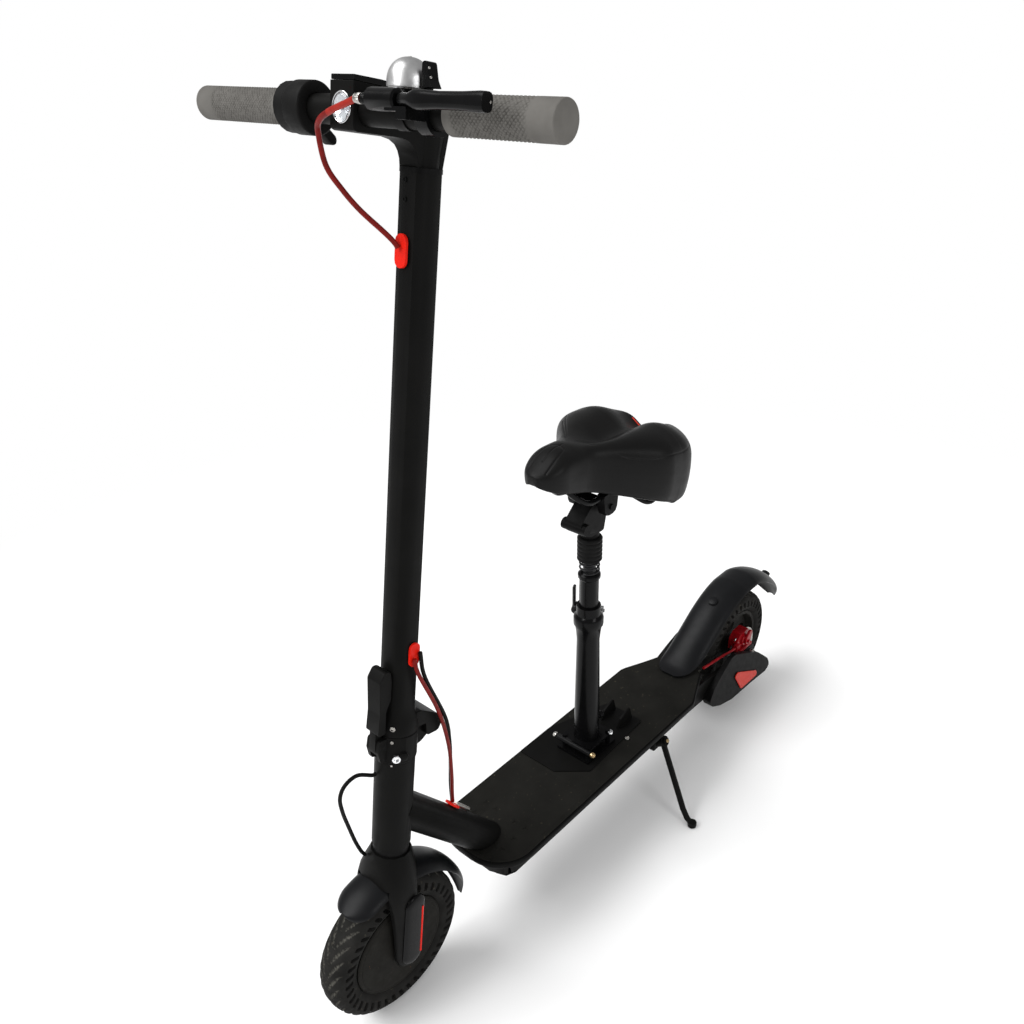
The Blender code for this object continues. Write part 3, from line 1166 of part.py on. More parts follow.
def make_caliper():
    low, high = DISC_Y - 0.0075, DISC_Y + 0.0110
    body = side_plate("brake_caliper", rounded_outline([
        (CALIPER_X - 0.022, CALIPER_FLOOR + CLEAR, 0.004), (CALIPER_X + 0.022, CALIPER_FLOOR + CLEAR, 0.004),
        (CALIPER_X + 0.024, 0.148, 0.008), (CALIPER_X + 0.012, 0.1605, 0.006), (CALIPER_X - 0.014, 0.1605, 0.006),
        (CALIPER_X - 0.024, 0.140, 0.008),
    ]), low, high, SCOOTER, CALIPER_RED, rounded=0.002)
    slot = turned("disc_slot", [
        (DISC_RADIUS + 0.001, DISC_Y + 0.0016), (DISC_RADIUS + 0.001, DISC_Y - 0.0016), (0, DISC_Y - 0.0016),
        (0, DISC_Y + 0.0016),
    ], SCOOTER, at=REAR_AXLE, turn=ABOUT_Y, steps=36, ring=True, helper=True)
    cut(body, slot)
    foot = box(
        "caliper_foot", (CALIPER_X - 0.020, DISC_Y + 0.0060, CALIPER_FLOOR + CLEAR),
        (CALIPER_X + 0.020, ARM_OUT - 0.0008, CALIPER_FLOOR + 0.0065), SCOOTER, helper=True, rounded=0.001,
    )
    barrel = rod(
        "caliper_barrel", (CALIPER_X, DISC_Y + 0.008, 0.1425), (CALIPER_X, ARM_OUT - 0.0040, 0.1425), 0.0115, SCOOTER,
        helper=True,
    )
    bevel(barrel, 0.0012)
    stop_lug = box(
        "cable_stop", (CALIPER_X + 0.020, ARM_OUT - 0.0110, 0.1360), (CALIPER_X + 0.032, ARM_OUT - 0.0030, 0.1460),
        SCOOTER, helper=True, rounded=0.001,
    )
    stem = box(
        "cable_stop_arm", (CALIPER_X + 0.010, ARM_OUT - 0.0120, 0.1280), (CALIPER_X + 0.0270, ARM_OUT - 0.0060, 0.1400),
        SCOOTER, helper=True,
    )
    spindle = rod(
        "caliper_spindle", (CALIPER_X, ARM_OUT - 0.0050, 0.1425), (CALIPER_X, ARM_OUT + 0.0040, 0.1425), 0.0032, SCOOTER,
        helper=True, sides=16,
    )
    join(body, foot, barrel, stop_lug, stem, spindle)
    holder = pivot("caliper_pivot", SCOOTER, (CALIPER_X, ARM_OUT, 0.1425))
    low, high = ARM_OUT - 0.0040 + CLEAR, ARM_OUT + 0.0010
    lever = side_plate("caliper_arm", rounded_outline([
        (CALIPER_X - 0.0075, 0.1360, 0.006), (CALIPER_X + 0.0070, 0.1360, 0.006), (CALIPER_X + 0.0075, 0.1500, 0.005),
        (CALIPER_X - 0.0060, 0.1640, 0.004), (CALIPER_X - 0.0130, 0.1600, 0.004),
    ]), low, high, holder, CALIPER_RED, rounded=0.0008)
    cut(lever, rod(
        "caliper_bore", (CALIPER_X, low - 0.01, 0.1425), (CALIPER_X, high + 0.01, 0.1425), 0.0032 + BORE_GAP, holder,
        helper=True, sides=16,
    ))
    route = [
        Vector((CALIPER_X + 0.0320 + CLEAR, ARM_OUT - 0.0070, 0.1410)), Vector((0.060, 0.0425, 0.1425)),
        Vector((0.090, 0.0400, 0.1465)), Vector((0.120, 0.0385, 0.1500)), Vector((0.1420, 0.0375, 0.1530)),
    ]
    tube("rear_brake_cable", smooth_route(route, 2), CABLE_RADIUS, SCOOTER, CALIPER_RED)


# Kickstand

def make_kickstand():
    inner = STAND_PIVOT - STAND_AXIS * STAND_HUB_LONG / 2
    outer = STAND_PIVOT + STAND_AXIS * STAND_HUB_LONG / 2
    seat = inner - STAND_AXIS * CLEAR
    bracket = rod("kickstand_bracket", seat - STAND_AXIS * 0.0070, seat, STAND_HUB, SCOOTER, BLACK)
    pin = rod("stand_pin", seat - STAND_AXIS * 0.004, outer + STAND_AXIS * 0.0035, STAND_PIN, SCOOTER, helper=True,
              sides=16)
    head = rod("stand_head", outer + STAND_AXIS * CLEAR, outer + STAND_AXIS * 0.0035, 0.0062, SCOOTER, helper=True,
               sides=6)
    block = box("stand_block", (0.294, TRAY_HALF - 0.0003, 0.1010), (0.322, 0.0615, 0.1180), SCOOTER, helper=True,
                rounded=0.0015)
    join(bracket, block, pin, head)
    holder = pivot("kickstand_pivot", SCOOTER, STAND_PIVOT)
    hub = rod("kickstand", inner, outer, STAND_HUB, holder, BLACK)
    bend = Vector((0.3330, 0.1360, 0.0130))
    foot = Vector((*STAND_FOOT, 0.0055))
    start = STAND_PIVOT + (bend - STAND_PIVOT).normalized() * 0.0055
    leg = tube("stand_leg", [
        start, start.lerp(bend, 0.3), start.lerp(bend, 0.9), bend + Vector((0, 0.0035, -0.0025)),
        foot + Vector((0, -0.004, 0.0015)), foot,
    ], STAND_LEG, holder, helper=True)
    pad = rod("stand_pad", (*STAND_FOOT, 0), (*STAND_FOOT, 0.0105), 0.0072, holder, helper=True)
    bevel(pad, 0.0012)
    join(hub, leg, pad)
    cut(hub, rod("stand_bore", inner - STAND_AXIS * 0.01, outer + STAND_AXIS * 0.01, STAND_PIN + BORE_GAP, holder,
                 helper=True, sides=16))


# Seat

def make_seat_mount():
    floor = DECK_TOP + CLEAR
    strap = plate("seat_strap_plate", rounded_outline([
        (0.500, -0.0700, 0.002), (0.500, -0.0020, 0.002), (0.4640, 0.0400, 0.003), (0.3200, 0.0340, 0.006),
        (0.3200, -0.0340, 0.006), (0.4300, -0.0700, 0.003),
    ], 3), 0.0020, SCOOTER, BLACK, (0, 0, floor + 0.0010))
    fins = [
        side_plate("strap_fin", rounded_outline([
            (0.3640, floor + 0.001, 0), (0.3560, 0.1700, 0.003), (0.3320, 0.1795, 0.003), (0.3240, floor + 0.001, 0),
        ]), y - 0.0015, y + 0.0015, SCOOTER, helper=True)
        for y in (-0.016, 0.016)
    ]
    join(strap, *fins)
    low = floor + 0.0020 + CLEAR
    mast = box("seat_mast", (0.392, -0.028, PLATE_LOW), (0.453, 0.028, PLATE_TOP), SCOOTER, BLACK)
    base = box("mast_base", (0.388, -0.030, low), (0.457, 0.030, low + 0.005), SCOOTER, helper=True)
    spacers = [
        rod("mast_spacer", (x, y, low + 0.002), (x, y, PLATE_TOP + 0.0035), 0.0040, SCOOTER, helper=True, sides=6)
        for x in (0.3975, 0.4475) for y in (-0.0225, 0.0225)
    ]
    bar = turned("mast_bar", [
        (0, 0.0350), (0.0030, 0.0345), (0.0046, 0.0320), (0.0046, -0.0320), (0.0030, -0.0345), (0, -0.0350),
    ], SCOOTER, at=(0.4535, 0, (PLATE_LOW + PLATE_TOP) / 2), turn=ABOUT_Y, steps=8, helper=True)
    knob = turned("mast_knob", [
        (0, 0.0075), (0.0045, 0.0070), (0.0060, 0.0050), (0.0060, 0), (0.0045, -0.0010), (0.0045, -0.016), (0, -0.016),
    ], SCOOTER, at=(MAST_X - MAST_LOW_RADIUS - 0.006, 0.0040, 0.200), turn=aim((-0.95, 0.3, 0)), steps=8, helper=True)
    body = turned("mast_tube", [
        (0, MAST_TOP), (MAST_TOP_RADIUS + 0.0008, MAST_TOP), (MAST_TOP_RADIUS + 0.0012, COLLAR_LOW + 0.022),
        (COLLAR_RADIUS - 0.001, COLLAR_LOW + 0.019), (COLLAR_RADIUS, COLLAR_LOW + 0.016),
        (COLLAR_RADIUS, COLLAR_LOW + 0.005), (COLLAR_RADIUS - 0.0025, COLLAR_LOW), (MAST_TOP_RADIUS + 0.001, 0.372),
        (MAST_TOP_RADIUS, 0.360), (MAST_LOW_RADIUS, 0.230), (MAST_LOW_RADIUS, 0.190), (0.0200, PLATE_TOP - 0.001),
        (0, PLATE_TOP - 0.001),
    ], SCOOTER, at=(MAST_X, 0, 0), steps=20, helper=True)
    away = Vector((-math.cos(COLLAR_TURN), -math.sin(COLLAR_TURN), 0))
    along = Vector((-math.sin(COLLAR_TURN), math.cos(COLLAR_TURN), 0))
    centre = Vector((MAST_X, 0, COLLAR_LOW + 0.010))
    bolt_spot = centre + away * 0.0255
    lug = box(
        "collar_lug", (-0.0310, -0.0085, COLLAR_LOW + 0.003), (-0.0150, 0.0085, COLLAR_LOW + 0.017), SCOOTER,
        helper=True, rounded=0.001,
    )
    lug.location = centre + away * 0.0230
    lug.rotation_euler = (0, 0, COLLAR_TURN)
    bolt = rod("collar_bolt", bolt_spot + along * 0.0190, bolt_spot - along * 0.0240, 0.0028, SCOOTER, helper=True,
               sides=6)
    nut = rod("collar_nut", bolt_spot + along * 0.0080, bolt_spot + along * 0.0175, 0.0065, SCOOTER, helper=True,
              sides=8)
    bevel(nut, 0.001)
    cam_spot = bolt_spot - along * 0.0215
    cam_pin = rod("cam_pin", cam_spot - away * 0.0062, cam_spot + away * 0.0062, 0.0020, SCOOTER, helper=True, sides=12)
    join(mast, base, *spacers, bar, knob, body, lug)
    cut(mast, rod("post_room", (MAST_X, 0, POST_FOOT - 0.045), (MAST_X, 0, MAST_TOP + 0.02), POST_RADIUS + BORE_GAP,
                  SCOOTER, helper=True, sides=20))
    slit = box("collar_slit", (-0.030, -0.0008, -0.05), (0.0, 0.0008, 0.05), SCOOTER, helper=True)
    slit.location = centre + away * 0.0270
    slit.rotation_euler = (0, 0, COLLAR_TURN)
    cut(mast, slit)
    join(mast, bolt, nut, cam_pin)
    holder = pivot("qr_pivot", SCOOTER, cam_spot)
    cam = rod("seat_qr_lever", cam_spot - away * 0.0068, cam_spot + away * 0.0068, 0.0075, holder, SILVER)
    bevel(cam, 0.0008)
    arm_mid = cam_spot + Z_AXIS * 0.0190 - along * 0.0035
    arm = box("qr_arm", (-0.0050, -0.0022, -0.0190), (0.0050, 0.0022, 0.0190), holder, helper=True, rounded=0.0015)
    arm.location = arm_mid
    arm.rotation_euler = (0, 0, COLLAR_TURN)
    join(cam, arm)
    gap = box("qr_gap", (-0.0034, -0.004, -0.020), (0.0034, 0.020, 0.004), holder, helper=True)
    gap.location = cam_spot + along * 0.0045 - Z_AXIS * 0.0060
    gap.rotation_euler = (0, 0, COLLAR_TURN)
    cut(cam, gap, rod("cam_bore", cam_spot - away * 0.02, cam_spot + away * 0.02, 0.0020 + BORE_GAP, holder, helper=True,
                      sides=12))


def make_seat_post():
    """The post with its spring pivot's lower half; returns the empty that the spring carries."""
    holder = pivot("seat_height_pivot", SCOOTER, (MAST_X, 0, MAST_TOP))
    bulge = 0.4700
    turned("seat_post", [
        (POST_RADIUS - 0.0010, POST_TOP), (POST_RADIUS, POST_TOP - 0.0010), (BULGE_RADIUS, bulge + 0.0020),
        (BULGE_RADIUS, bulge - 0.0030), (POST_RADIUS, bulge - 0.0060), (POST_RADIUS, POST_FOOT),
        (PISTON_RADIUS + BORE_GAP, POST_FOOT), (PISTON_RADIUS + BORE_GAP, POST_TOP),
    ], holder, BLACK, (MAST_X, 0, 0), steps=20, ring=True)
    top = pivot("suspension_pivot", holder, (MAST_X, 0, POST_TOP))
    turned("seat_piston", [
        (0, CLAMP_TOP - 0.040), (PISTON_RADIUS, CLAMP_TOP - 0.040), (PISTON_RADIUS, PISTON_FOOT), (0, PISTON_FOOT),
    ], top, STEEL, (MAST_X, 0, 0), steps=20)
    turns = []
    low, high = POST_TOP + SPRING_WIRE + CLEAR, BOOT_TOP - SPRING_WIRE - CLEAR - 0.0030
    per_turn = 8
    count = SPRING_TURNS * per_turn
    for i in range(count + 1):
        angle = 2 * math.pi * i / per_turn
        turns.append(Vector((
            MAST_X + SPRING_RADIUS * math.cos(angle), SPRING_RADIUS * math.sin(angle), low + (high - low) * i / count,
        )))
    print("spring gap between turns, mm:", round(1000 * ((high - low) / SPRING_TURNS - 2 * SPRING_WIRE), 2))
    tube("seat_spring", turns, SPRING_WIRE, top, STEEL, sides=1)
    ribs = 5
    pitch = (BOOT_TOP - BOOT_LOW - 0.004) / ribs
    profile = [(0.0105, BOOT_TOP), (0.0155, BOOT_TOP), (BOOT_RADIUS, BOOT_TOP - 0.003)]
    for i in range(ribs):
        z = BOOT_TOP - 0.004 - i * pitch
        profile += [(BOOT_RADIUS - 0.0010, z - pitch * 0.25), (BOOT_RADIUS, z - pitch * 0.8)]
    profile += [(BOOT_RADIUS - 0.0008, BOOT_LOW), (BOOT_RADIUS - 0.0020, BOOT_LOW)]
    profile += [(BOOT_RADIUS - 0.0020, BOOT_TOP - 0.003), (0.0105, BOOT_TOP - 0.003)]
    turned("seat_boot", profile, top, RUBBER, (MAST_X, 0, 0), steps=16, ring=True)
    return top


def make_saddle(top):
    clamp = turned("saddle_clamp", [
        (0, CLAMP_TOP - 0.025), (0.0125, CLAMP_TOP - 0.025), (0.0125, BOOT_TOP + CLEAR),
        (PISTON_RADIUS + BORE_GAP, BOOT_TOP + CLEAR), (PISTON_RADIUS + BORE_GAP, CLAMP_TOP - 0.040 + CLEAR),
        (0, CLAMP_TOP - 0.040 + CLEAR),
    ], top, BLACK, (MAST_X, 0, 0), steps=20)
    yoke = side_plate("clamp_yoke", rounded_outline([
        (MAST_X - 0.0125, 0.5395, 0.003), (MAST_X + 0.0145, 0.5395, 0.003), (MAST_X + 0.033, 0.5495, 0.006),
        (MAST_X + 0.0375, 0.5650, 0.006), (MAST_X + 0.016, 0.5840, 0.004), (TILT_X, TILT_Z + 0.0095, 0.006),
        (MAST_X - 0.018, TILT_Z, 0.006), (MAST_X - 0.017, 0.5600, 0.006),
    ]), -0.0135, 0.0135, top, helper=True)
    cross = rod("clamp_cross", (MAST_X + 0.030, -0.0195, 0.5580), (MAST_X + 0.030, 0.0195, 0.5580), 0.0080, top,
                helper=True)
    pin = rod("tilt_pin", (TILT_X, -0.0328, TILT_Z), (TILT_X, 0.0328, TILT_Z), 0.0038, top, helper=True, sides=16)
    join(clamp, yoke, cross, pin, solver="MANIFOLD")
    tilt = pivot("tilt_pivot", top, (TILT_X, 0, TILT_Z))
    rail_y = 0.0235
    route = [
        (0.5050, 0.0100, 0.6395), (0.4960, 0.0115, 0.6370), (0.4820, 0.0165, 0.6210), (0.4680, 0.0215, 0.6080),
        (0.4560, rail_y, 0.6010), (0.4400, rail_y, 0.5985), (0.4000, rail_y, 0.5985), (0.3840, 0.0270, 0.5930),
        (0.3700, 0.0350, 0.5790), (0.3560, 0.0420, 0.5680), (0.3440, 0.0445, 0.5665), (0.3360, 0.0445, 0.5730),
        (0.3320, 0.0440, 0.5860), (0.3310, 0.0430, 0.6060),
    ]
    base = loft("saddle_rails", [
        [Vector((x, y, z)) for y, z in shell_ring(x)] for x in saddle_stations() if 0.308 < x < 0.516
    ], tilt, RUBBER)
    rails = [
        tube("rail", smooth_route([(x, sign * y, z) for x, y, z in route], 1), RAIL_RADIUS, tilt, sides=1, helper=True)
        for sign in (1, -1)
    ]
    cradles = [
        side_plate("rail_cradle", rounded_outline([
            (TILT_X - 0.012, TILT_Z - 0.0115, 0.009), (TILT_X + 0.012, TILT_Z - 0.0115, 0.009),
            (TILT_X + 0.016, 0.6030, 0.003), (TILT_X - 0.016, 0.6030, 0.003),
        ]), *sorted((sign * 0.0185, sign * 0.0305)), tilt, helper=True)
        for sign in (1, -1)
    ]
    join(base, *rails, *cradles)
    cut(base, rod("tilt_bore", (TILT_X, -0.05, TILT_Z), (TILT_X, 0.05, TILT_Z), 0.0038 + BORE_GAP, tilt, helper=True,
                  sides=16))
    loft("saddle_cushion", [
        [Vector((x, y, z)) for y, z in cushion_ring(x)] for x in saddle_stations()
    ], tilt, VINYL, smooth_deg=60)


def ease(value, low, high):
    """Rises smoothly from 0 at low to 1 at high."""
    t = min(1.0, max(0.0, (value - low) / (high - low)))
    return t * t * (3 - 2 * t)


def nose_share(x):
    """1 along the saddle, falling along an ellipse at its tip."""
    return math.sqrt(max(0.0, 1 - (max(0.0, x - NOSE_START) / (SADDLE_NOSE - NOSE_START + 0.0010)) ** 2))


def saddle_half(x):
    """Half the saddle's width: a narrow rounded nose that flares into the rear lobes."""
    tail = math.sqrt(max(0.0, 1 - (max(0.0, 0.345 - x) / 0.0452) ** 2.4))
    return (0.029 + 0.061 * (1 - ease(x, 0.368, 0.468))) * nose_share(x) * (0.42 + 0.58 * tail)


def saddle_stations():
    """Places along the saddle, closer together where it rounds off."""
    count = 18
    middle, half = (SADDLE_NOSE + SADDLE_REAR) / 2, (SADDLE_NOSE - SADDLE_REAR) / 2
    return [middle - half * math.sin(math.pi * (0.5 - i / count) * 0.97) / math.sin(math.pi * 0.485)
            for i in range(count + 1)]


def skirt_height(x):
    """The height of the padding's lower edge, which climbs towards the nose."""
    return 0.5745 + 0.064 * (max(0.0, x - 0.350) / 0.170) ** 0.85 + 0.012 * (1 - ease(x, SADDLE_REAR, 0.335))


def under_height(x):
    """The height of the hollow underside, where the hard base lies."""
    return 0.6105 + 0.0340 * ease(x, 0.400, 0.510)


def shell_ring(x):
    """The hard base under the padding: a shallow tray section."""
    half = max(0.012, saddle_half(x) * 0.56)
    z = under_height(x) - CLEAR - BASE_HALF
    return [(y, z + rise) for y, rise in rounded_section(half, BASE_HALF, 0.003, 2)]


def cushion_ring(x):
    """A section of the padding: two lobes with a valley between them, over a hollow underside."""
    half = saddle_half(x)
    skirt, under = skirt_height(x), under_height(x)
    top = 0.6840 - 0.012 * ease(x, 0.490, SADDLE_NOSE) - 0.018 * (1 - ease(x, SADDLE_REAR, 0.355))
    belt = skirt + 0.42 * (top - skirt)
    share = nose_share(x)
    top = belt + (top - belt) * (0.25 + 0.75 * share)
    skirt = belt + (skirt - belt) * (0.25 + 0.75 * share)
    under = max(under, skirt + 0.001)
    valley = 0.025 * (1 - ease(x, 0.400, 0.480))
    across = 12
    ring = []
    for k in range(across + 1):
        angle = (k / across - 0.5) * math.pi
        y = half * math.sin(angle)
        dip = valley * math.exp(-(y / (0.018 + 0.12 * half)) ** 2)
        ring.append((y, belt + (top - belt) * abs(math.cos(angle)) ** 0.50 - dip))
    edge = [(0.985, 0.62), (0.94, 0.16), (0.86, 0), (0.77, 0.03)]
    lower = [(half * side, skirt + (belt - skirt) * rise) for side, rise in edge]
    lower += [(half * 0.68, under), (0, under)]
    return ring + lower + [(-y, z) for y, z in reversed(lower[:-1])]


front_pivot = pivot("front_wheel_pivot", STEERING, FRONT_AXLE)
rear_pivot = pivot("rear_wheel_pivot", SCOOTER, REAR_AXLE)
make_frame()
make_deck_pieces()
make_bearings()
make_wheels(front_pivot, rear_pivot)
make_fork()
make_front_fender()
make_folding_base()
make_latch()
make_stem()
make_head()
make_bar()
make_brake_lever()
make_bell()
make_cables()
make_rear_end()
make_kickstand()
make_seat_mount()
make_saddle(make_seat_post())
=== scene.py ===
"""The looks of an electric scooter with a fitted seat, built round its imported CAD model."""

import json
import math

import bmesh
import bpy
import numpy as np
from mathutils import Matrix

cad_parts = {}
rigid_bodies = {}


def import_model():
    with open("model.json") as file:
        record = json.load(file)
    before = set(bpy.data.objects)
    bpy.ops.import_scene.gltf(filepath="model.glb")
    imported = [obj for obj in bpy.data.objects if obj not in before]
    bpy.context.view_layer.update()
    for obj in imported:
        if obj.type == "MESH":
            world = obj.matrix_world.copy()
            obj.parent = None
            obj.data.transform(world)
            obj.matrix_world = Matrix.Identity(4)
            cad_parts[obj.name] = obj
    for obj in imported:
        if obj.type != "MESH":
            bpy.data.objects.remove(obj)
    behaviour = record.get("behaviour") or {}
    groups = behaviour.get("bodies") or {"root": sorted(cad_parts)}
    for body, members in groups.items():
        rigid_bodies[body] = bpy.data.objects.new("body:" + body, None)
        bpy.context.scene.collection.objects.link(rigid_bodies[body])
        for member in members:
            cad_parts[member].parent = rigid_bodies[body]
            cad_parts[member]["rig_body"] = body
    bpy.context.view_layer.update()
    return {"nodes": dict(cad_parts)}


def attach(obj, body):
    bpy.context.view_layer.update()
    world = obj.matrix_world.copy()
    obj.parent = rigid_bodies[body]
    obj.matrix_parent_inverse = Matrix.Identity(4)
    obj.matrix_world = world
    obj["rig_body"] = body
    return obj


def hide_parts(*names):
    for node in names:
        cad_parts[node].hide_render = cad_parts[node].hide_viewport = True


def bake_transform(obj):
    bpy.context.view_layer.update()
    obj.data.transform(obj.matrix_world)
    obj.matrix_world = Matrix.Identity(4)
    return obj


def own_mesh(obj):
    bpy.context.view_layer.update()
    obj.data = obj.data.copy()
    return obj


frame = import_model()
NODES = frame["nodes"]

# Places shared with the CAD model, in metres
MIDDLE_X = 0.3905                     # the rear axle's distance behind the model's middle
RAKE = math.radians(11.11)            # the steering axis leans back by this angle
AHEAD = np.array((math.cos(RAKE), 0, math.sin(RAKE)))
ALONG = np.array((-math.sin(RAKE), 0, math.cos(RAKE)))
X, Y, Z = np.eye(3)
STEER_FOOT = np.array((0.457604, 0, 0.109395))
FRONT_WHEEL = np.array((0.4505, 0, 0.108))
REAR_WHEEL = np.array((-0.3905, 0, 0.108))
HEAD_S, BAR_N = 0.956, 0.0725         # the handlebar's height along the steering axis and its distance ahead
STEM_FACE = 0.0183                    # the stem's front face, ahead of the steering axis
CABLE = 0.0024                        # a cable's radius
POST_X = 0.0315

SHARP = 35.0                          # edges that turn by more degrees than this stay sharp
FLAT = 0.8                            # CAD triangles that turn by fewer degrees than this become one face
MERGE = 2e-6                          # points of a new surface that are closer than this become one


def steer(s, n, y=0.0):
    """A point from its height s along the steering axis, its distance n ahead of it and its side y."""
    return STEER_FOOT + ALONG * s + AHEAD * n + Y * y


def chassis(x, y, z):
    """A point given from the rear axle's foot."""
    return np.array((x - MIDDLE_X, y, z))


def ease(value, low, high):
    """Three t squared less two t cubed: rises smoothly from 0 at low to 1 at high."""
    t = np.clip((np.asarray(value, float) - low) / (high - low), 0, 1)
    return t * t * (3 - 2 * t)


def around(steps):
    """Equal steps of angle, once round."""
    return np.linspace(0, 2 * math.pi, steps, endpoint=False)


def circle(turn, first, second):
    """Directions round a circle: the first one times the turn's cosine, and the second one times its sine."""
    return np.cos(turn)[..., None] * first + np.sin(turn)[..., None] * second


# Finishes

def given(node, values):
    """A shader node whose sockets are given their constants."""
    for socket, value in values.items():
        node.inputs[socket].default_value = value
    return node


def finish(name, dark, light, patch, rough, grain, depth, metal=0.0, specular=0.2, coat=0.0, marks=(),
           pale=None):
    """A surface whose colour drifts between two tones in soft patches, whose gloss drifts with finer ones and
    whose skin has a fine grain. marks are (colour, pattern size, threshold, width) of scattered dirt, and
    pale is the colour laid, in patches, where the piece's own attribute of groove depth says: lighter than
    the rest in the tyre's grooves and darker in the grip's knurl valleys."""
    made = bpy.data.materials.new(name)
    made.use_nodes = True
    tree = made.node_tree
    nodes, links = tree.nodes, tree.links
    shader = given(nodes["Principled BSDF"], {
        "Metallic": metal, "Specular IOR Level": specular, "Coat Weight": coat, "Coat Roughness": 0.12})
    place = nodes.new("ShaderNodeTexCoord").outputs["Object"]

    def noise(scale, detail):
        node = given(nodes.new("ShaderNodeTexNoise"), {"Scale": scale, "Detail": detail, "Roughness": 0.55})
        links.new(place, node.inputs["Vector"])
        return node.outputs["Fac"]

    def spread(source, low, high, to_low, to_high):
        node = given(nodes.new("ShaderNodeMapRange"), {
            "From Min": low, "From Max": high, "To Min": to_low, "To Max": to_high})
        links.new(source, node.inputs["Value"])
        return node.outputs["Result"]

    def mixed(share, first, second):
        node = nodes.new("ShaderNodeMix")
        node.data_type = "RGBA"
        links.new(share, node.inputs["Factor"])
        for socket, colour in ((node.inputs[6], first), (node.inputs[7], second)):
            if isinstance(colour, tuple):
                socket.default_value = (*colour, 1)
            else:
                links.new(colour, socket)
        return node.outputs[2]

    tone = mixed(spread(noise(patch, 5), 0.3, 0.7, 0, 1), dark, light)
    for colour, size, threshold, width in marks:
        tone = mixed(spread(noise(size, 3), threshold, threshold + width, 0, 1), tone, colour)
    # Where the piece's attribute of groove depth says, in patches, the colour moves to pale: lighter in the
    # tyre's grooves and darker in the grip's knurl valleys
    if pale:
        groove_tone = nodes.new("ShaderNodeAttribute")
        groove_tone.attribute_name = "groove_tone"
        share = nodes.new("ShaderNodeMath")
        share.operation = "MULTIPLY"
        links.new(groove_tone.outputs["Fac"], share.inputs[0])
        links.new(spread(noise(260, 4), 0.38, 0.6, 0.1, 1), share.inputs[1])
        tone = mixed(share.outputs[0], tone, pale)
    links.new(tone, shader.inputs["Base Color"])
    links.new(spread(noise(patch * 3.1, 6), 0.3, 0.7, *rough), shader.inputs["Roughness"])
    bump = given(nodes.new("ShaderNodeBump"), {"Strength": depth, "Distance": 0.00015})
    links.new(noise(grain, 2), bump.inputs["Height"])
    links.new(bump.outputs["Normal"], shader.inputs["Normal"])
    return made


PAINT = finish("satin_black_paint", (0.0042, 0.0042, 0.0040), (0.0062, 0.0061, 0.0058), 18, (0.40, 0.50),
               2600, 0.10, specular=0.05)
CASTING = finish("cast_black", (0.0030, 0.0030, 0.0031), (0.0050, 0.0049, 0.0048), 35, (0.38, 0.52),
                 1500, 0.3, specular=0.06)
GLOSSY = finish("glossy_black", (0.0022, 0.0022, 0.0024), (0.0034, 0.0034, 0.0036), 25, (0.18, 0.28),
                2000, 0.05, specular=0.10)
FENDER = finish("satin_fender", (0.0044, 0.0046, 0.0052), (0.0064, 0.0067, 0.0076), 22, (0.34, 0.42),
                2400, 0.12, specular=0.13)
DECK_RUBBER = finish("deck_rubber", (0.0092, 0.0090, 0.0080), (0.0130, 0.0126, 0.0112), 26, (0.62, 0.78),
                     1300, 0.5, specular=0.04, marks=[((0.040, 0.036, 0.026), 210, 0.68, 0.05)])
RUBBER = finish("black_rubber", (0.0042, 0.0042, 0.0042), (0.0070, 0.0069, 0.0067), 60, (0.45, 0.6),
                1600, 0.3, specular=0.08)
TYRE = finish("tyre_rubber", (0.0100, 0.0098, 0.0092), (0.0200, 0.0194, 0.0182), 38, (0.70, 0.88),
              1100, 0.6, specular=0.06, marks=[((0.044, 0.040, 0.032), 150, 0.64, 0.10)],
              pale=(0.088, 0.085, 0.074))
HUB = finish("hub_cover", (0.0085, 0.0080, 0.0068), (0.0130, 0.0122, 0.0102), 30, (0.50, 0.66),
             1700, 0.25, specular=0.06,
             marks=[((0.110, 0.045, 0.014), 150, 0.735, 0.02), ((0.040, 0.035, 0.026), 320, 0.69, 0.05)])
# The grip's second colour darkens its knurl valleys by their depth, in patches
GRIP = finish("grey_grip", (0.110, 0.105, 0.097), (0.145, 0.139, 0.129), 45, (0.7, 0.85),
              1500, 0.4, specular=0.1, pale=(0.056, 0.053, 0.048))
SIGNAL = finish("signal_red", (0.60, 0.010, 0.004), (0.76, 0.015, 0.006), 70, (0.34, 0.46),
                1500, 0.15, specular=0.1)
REFLECTOR = finish("reflector_red", (0.42, 0.014, 0.005), (0.58, 0.024, 0.008), 260, (0.22, 0.34),
                   900, 0.6, specular=0.15, coat=0.1)
CALIPER = finish("caliper_red", (0.190, 0.002, 0.005), (0.34, 0.004, 0.009), 90, (0.26, 0.38),
                 1400, 0.2, metal=0.2, specular=0.15, coat=0.1)
CABLE_RED = finish("cable_red", (0.120, 0.0045, 0.0035), (0.19, 0.008, 0.006), 120, (0.28, 0.4),
                   1500, 0.1, specular=0.12)
SLEEVE_RED = finish("sleeve_red", (0.25, 0.014, 0.009), (0.34, 0.022, 0.014), 120, (0.28, 0.4),
                    1500, 0.1, specular=0.12)
PIPING = finish("red_piping", (0.50, 0.030, 0.018), (0.62, 0.045, 0.026), 300, (0.45, 0.6),
                1500, 0.3, specular=0.25)
DARK_STEEL = finish("dark_steel", (0.010, 0.010, 0.011), (0.024, 0.024, 0.025), 200, (0.25, 0.4),
                    1800, 0.2, metal=0.35)
BELL = finish("satin_bell", (0.58, 0.58, 0.58), (0.72, 0.72, 0.72), 90, (0.34, 0.44), 2400, 0.15, 1.0, 0.5)
SILVER = finish("satin_silver", (0.47, 0.47, 0.47), (0.60, 0.60, 0.60), 80, (0.26, 0.36), 2600, 0.1, 1.0, 0.5)
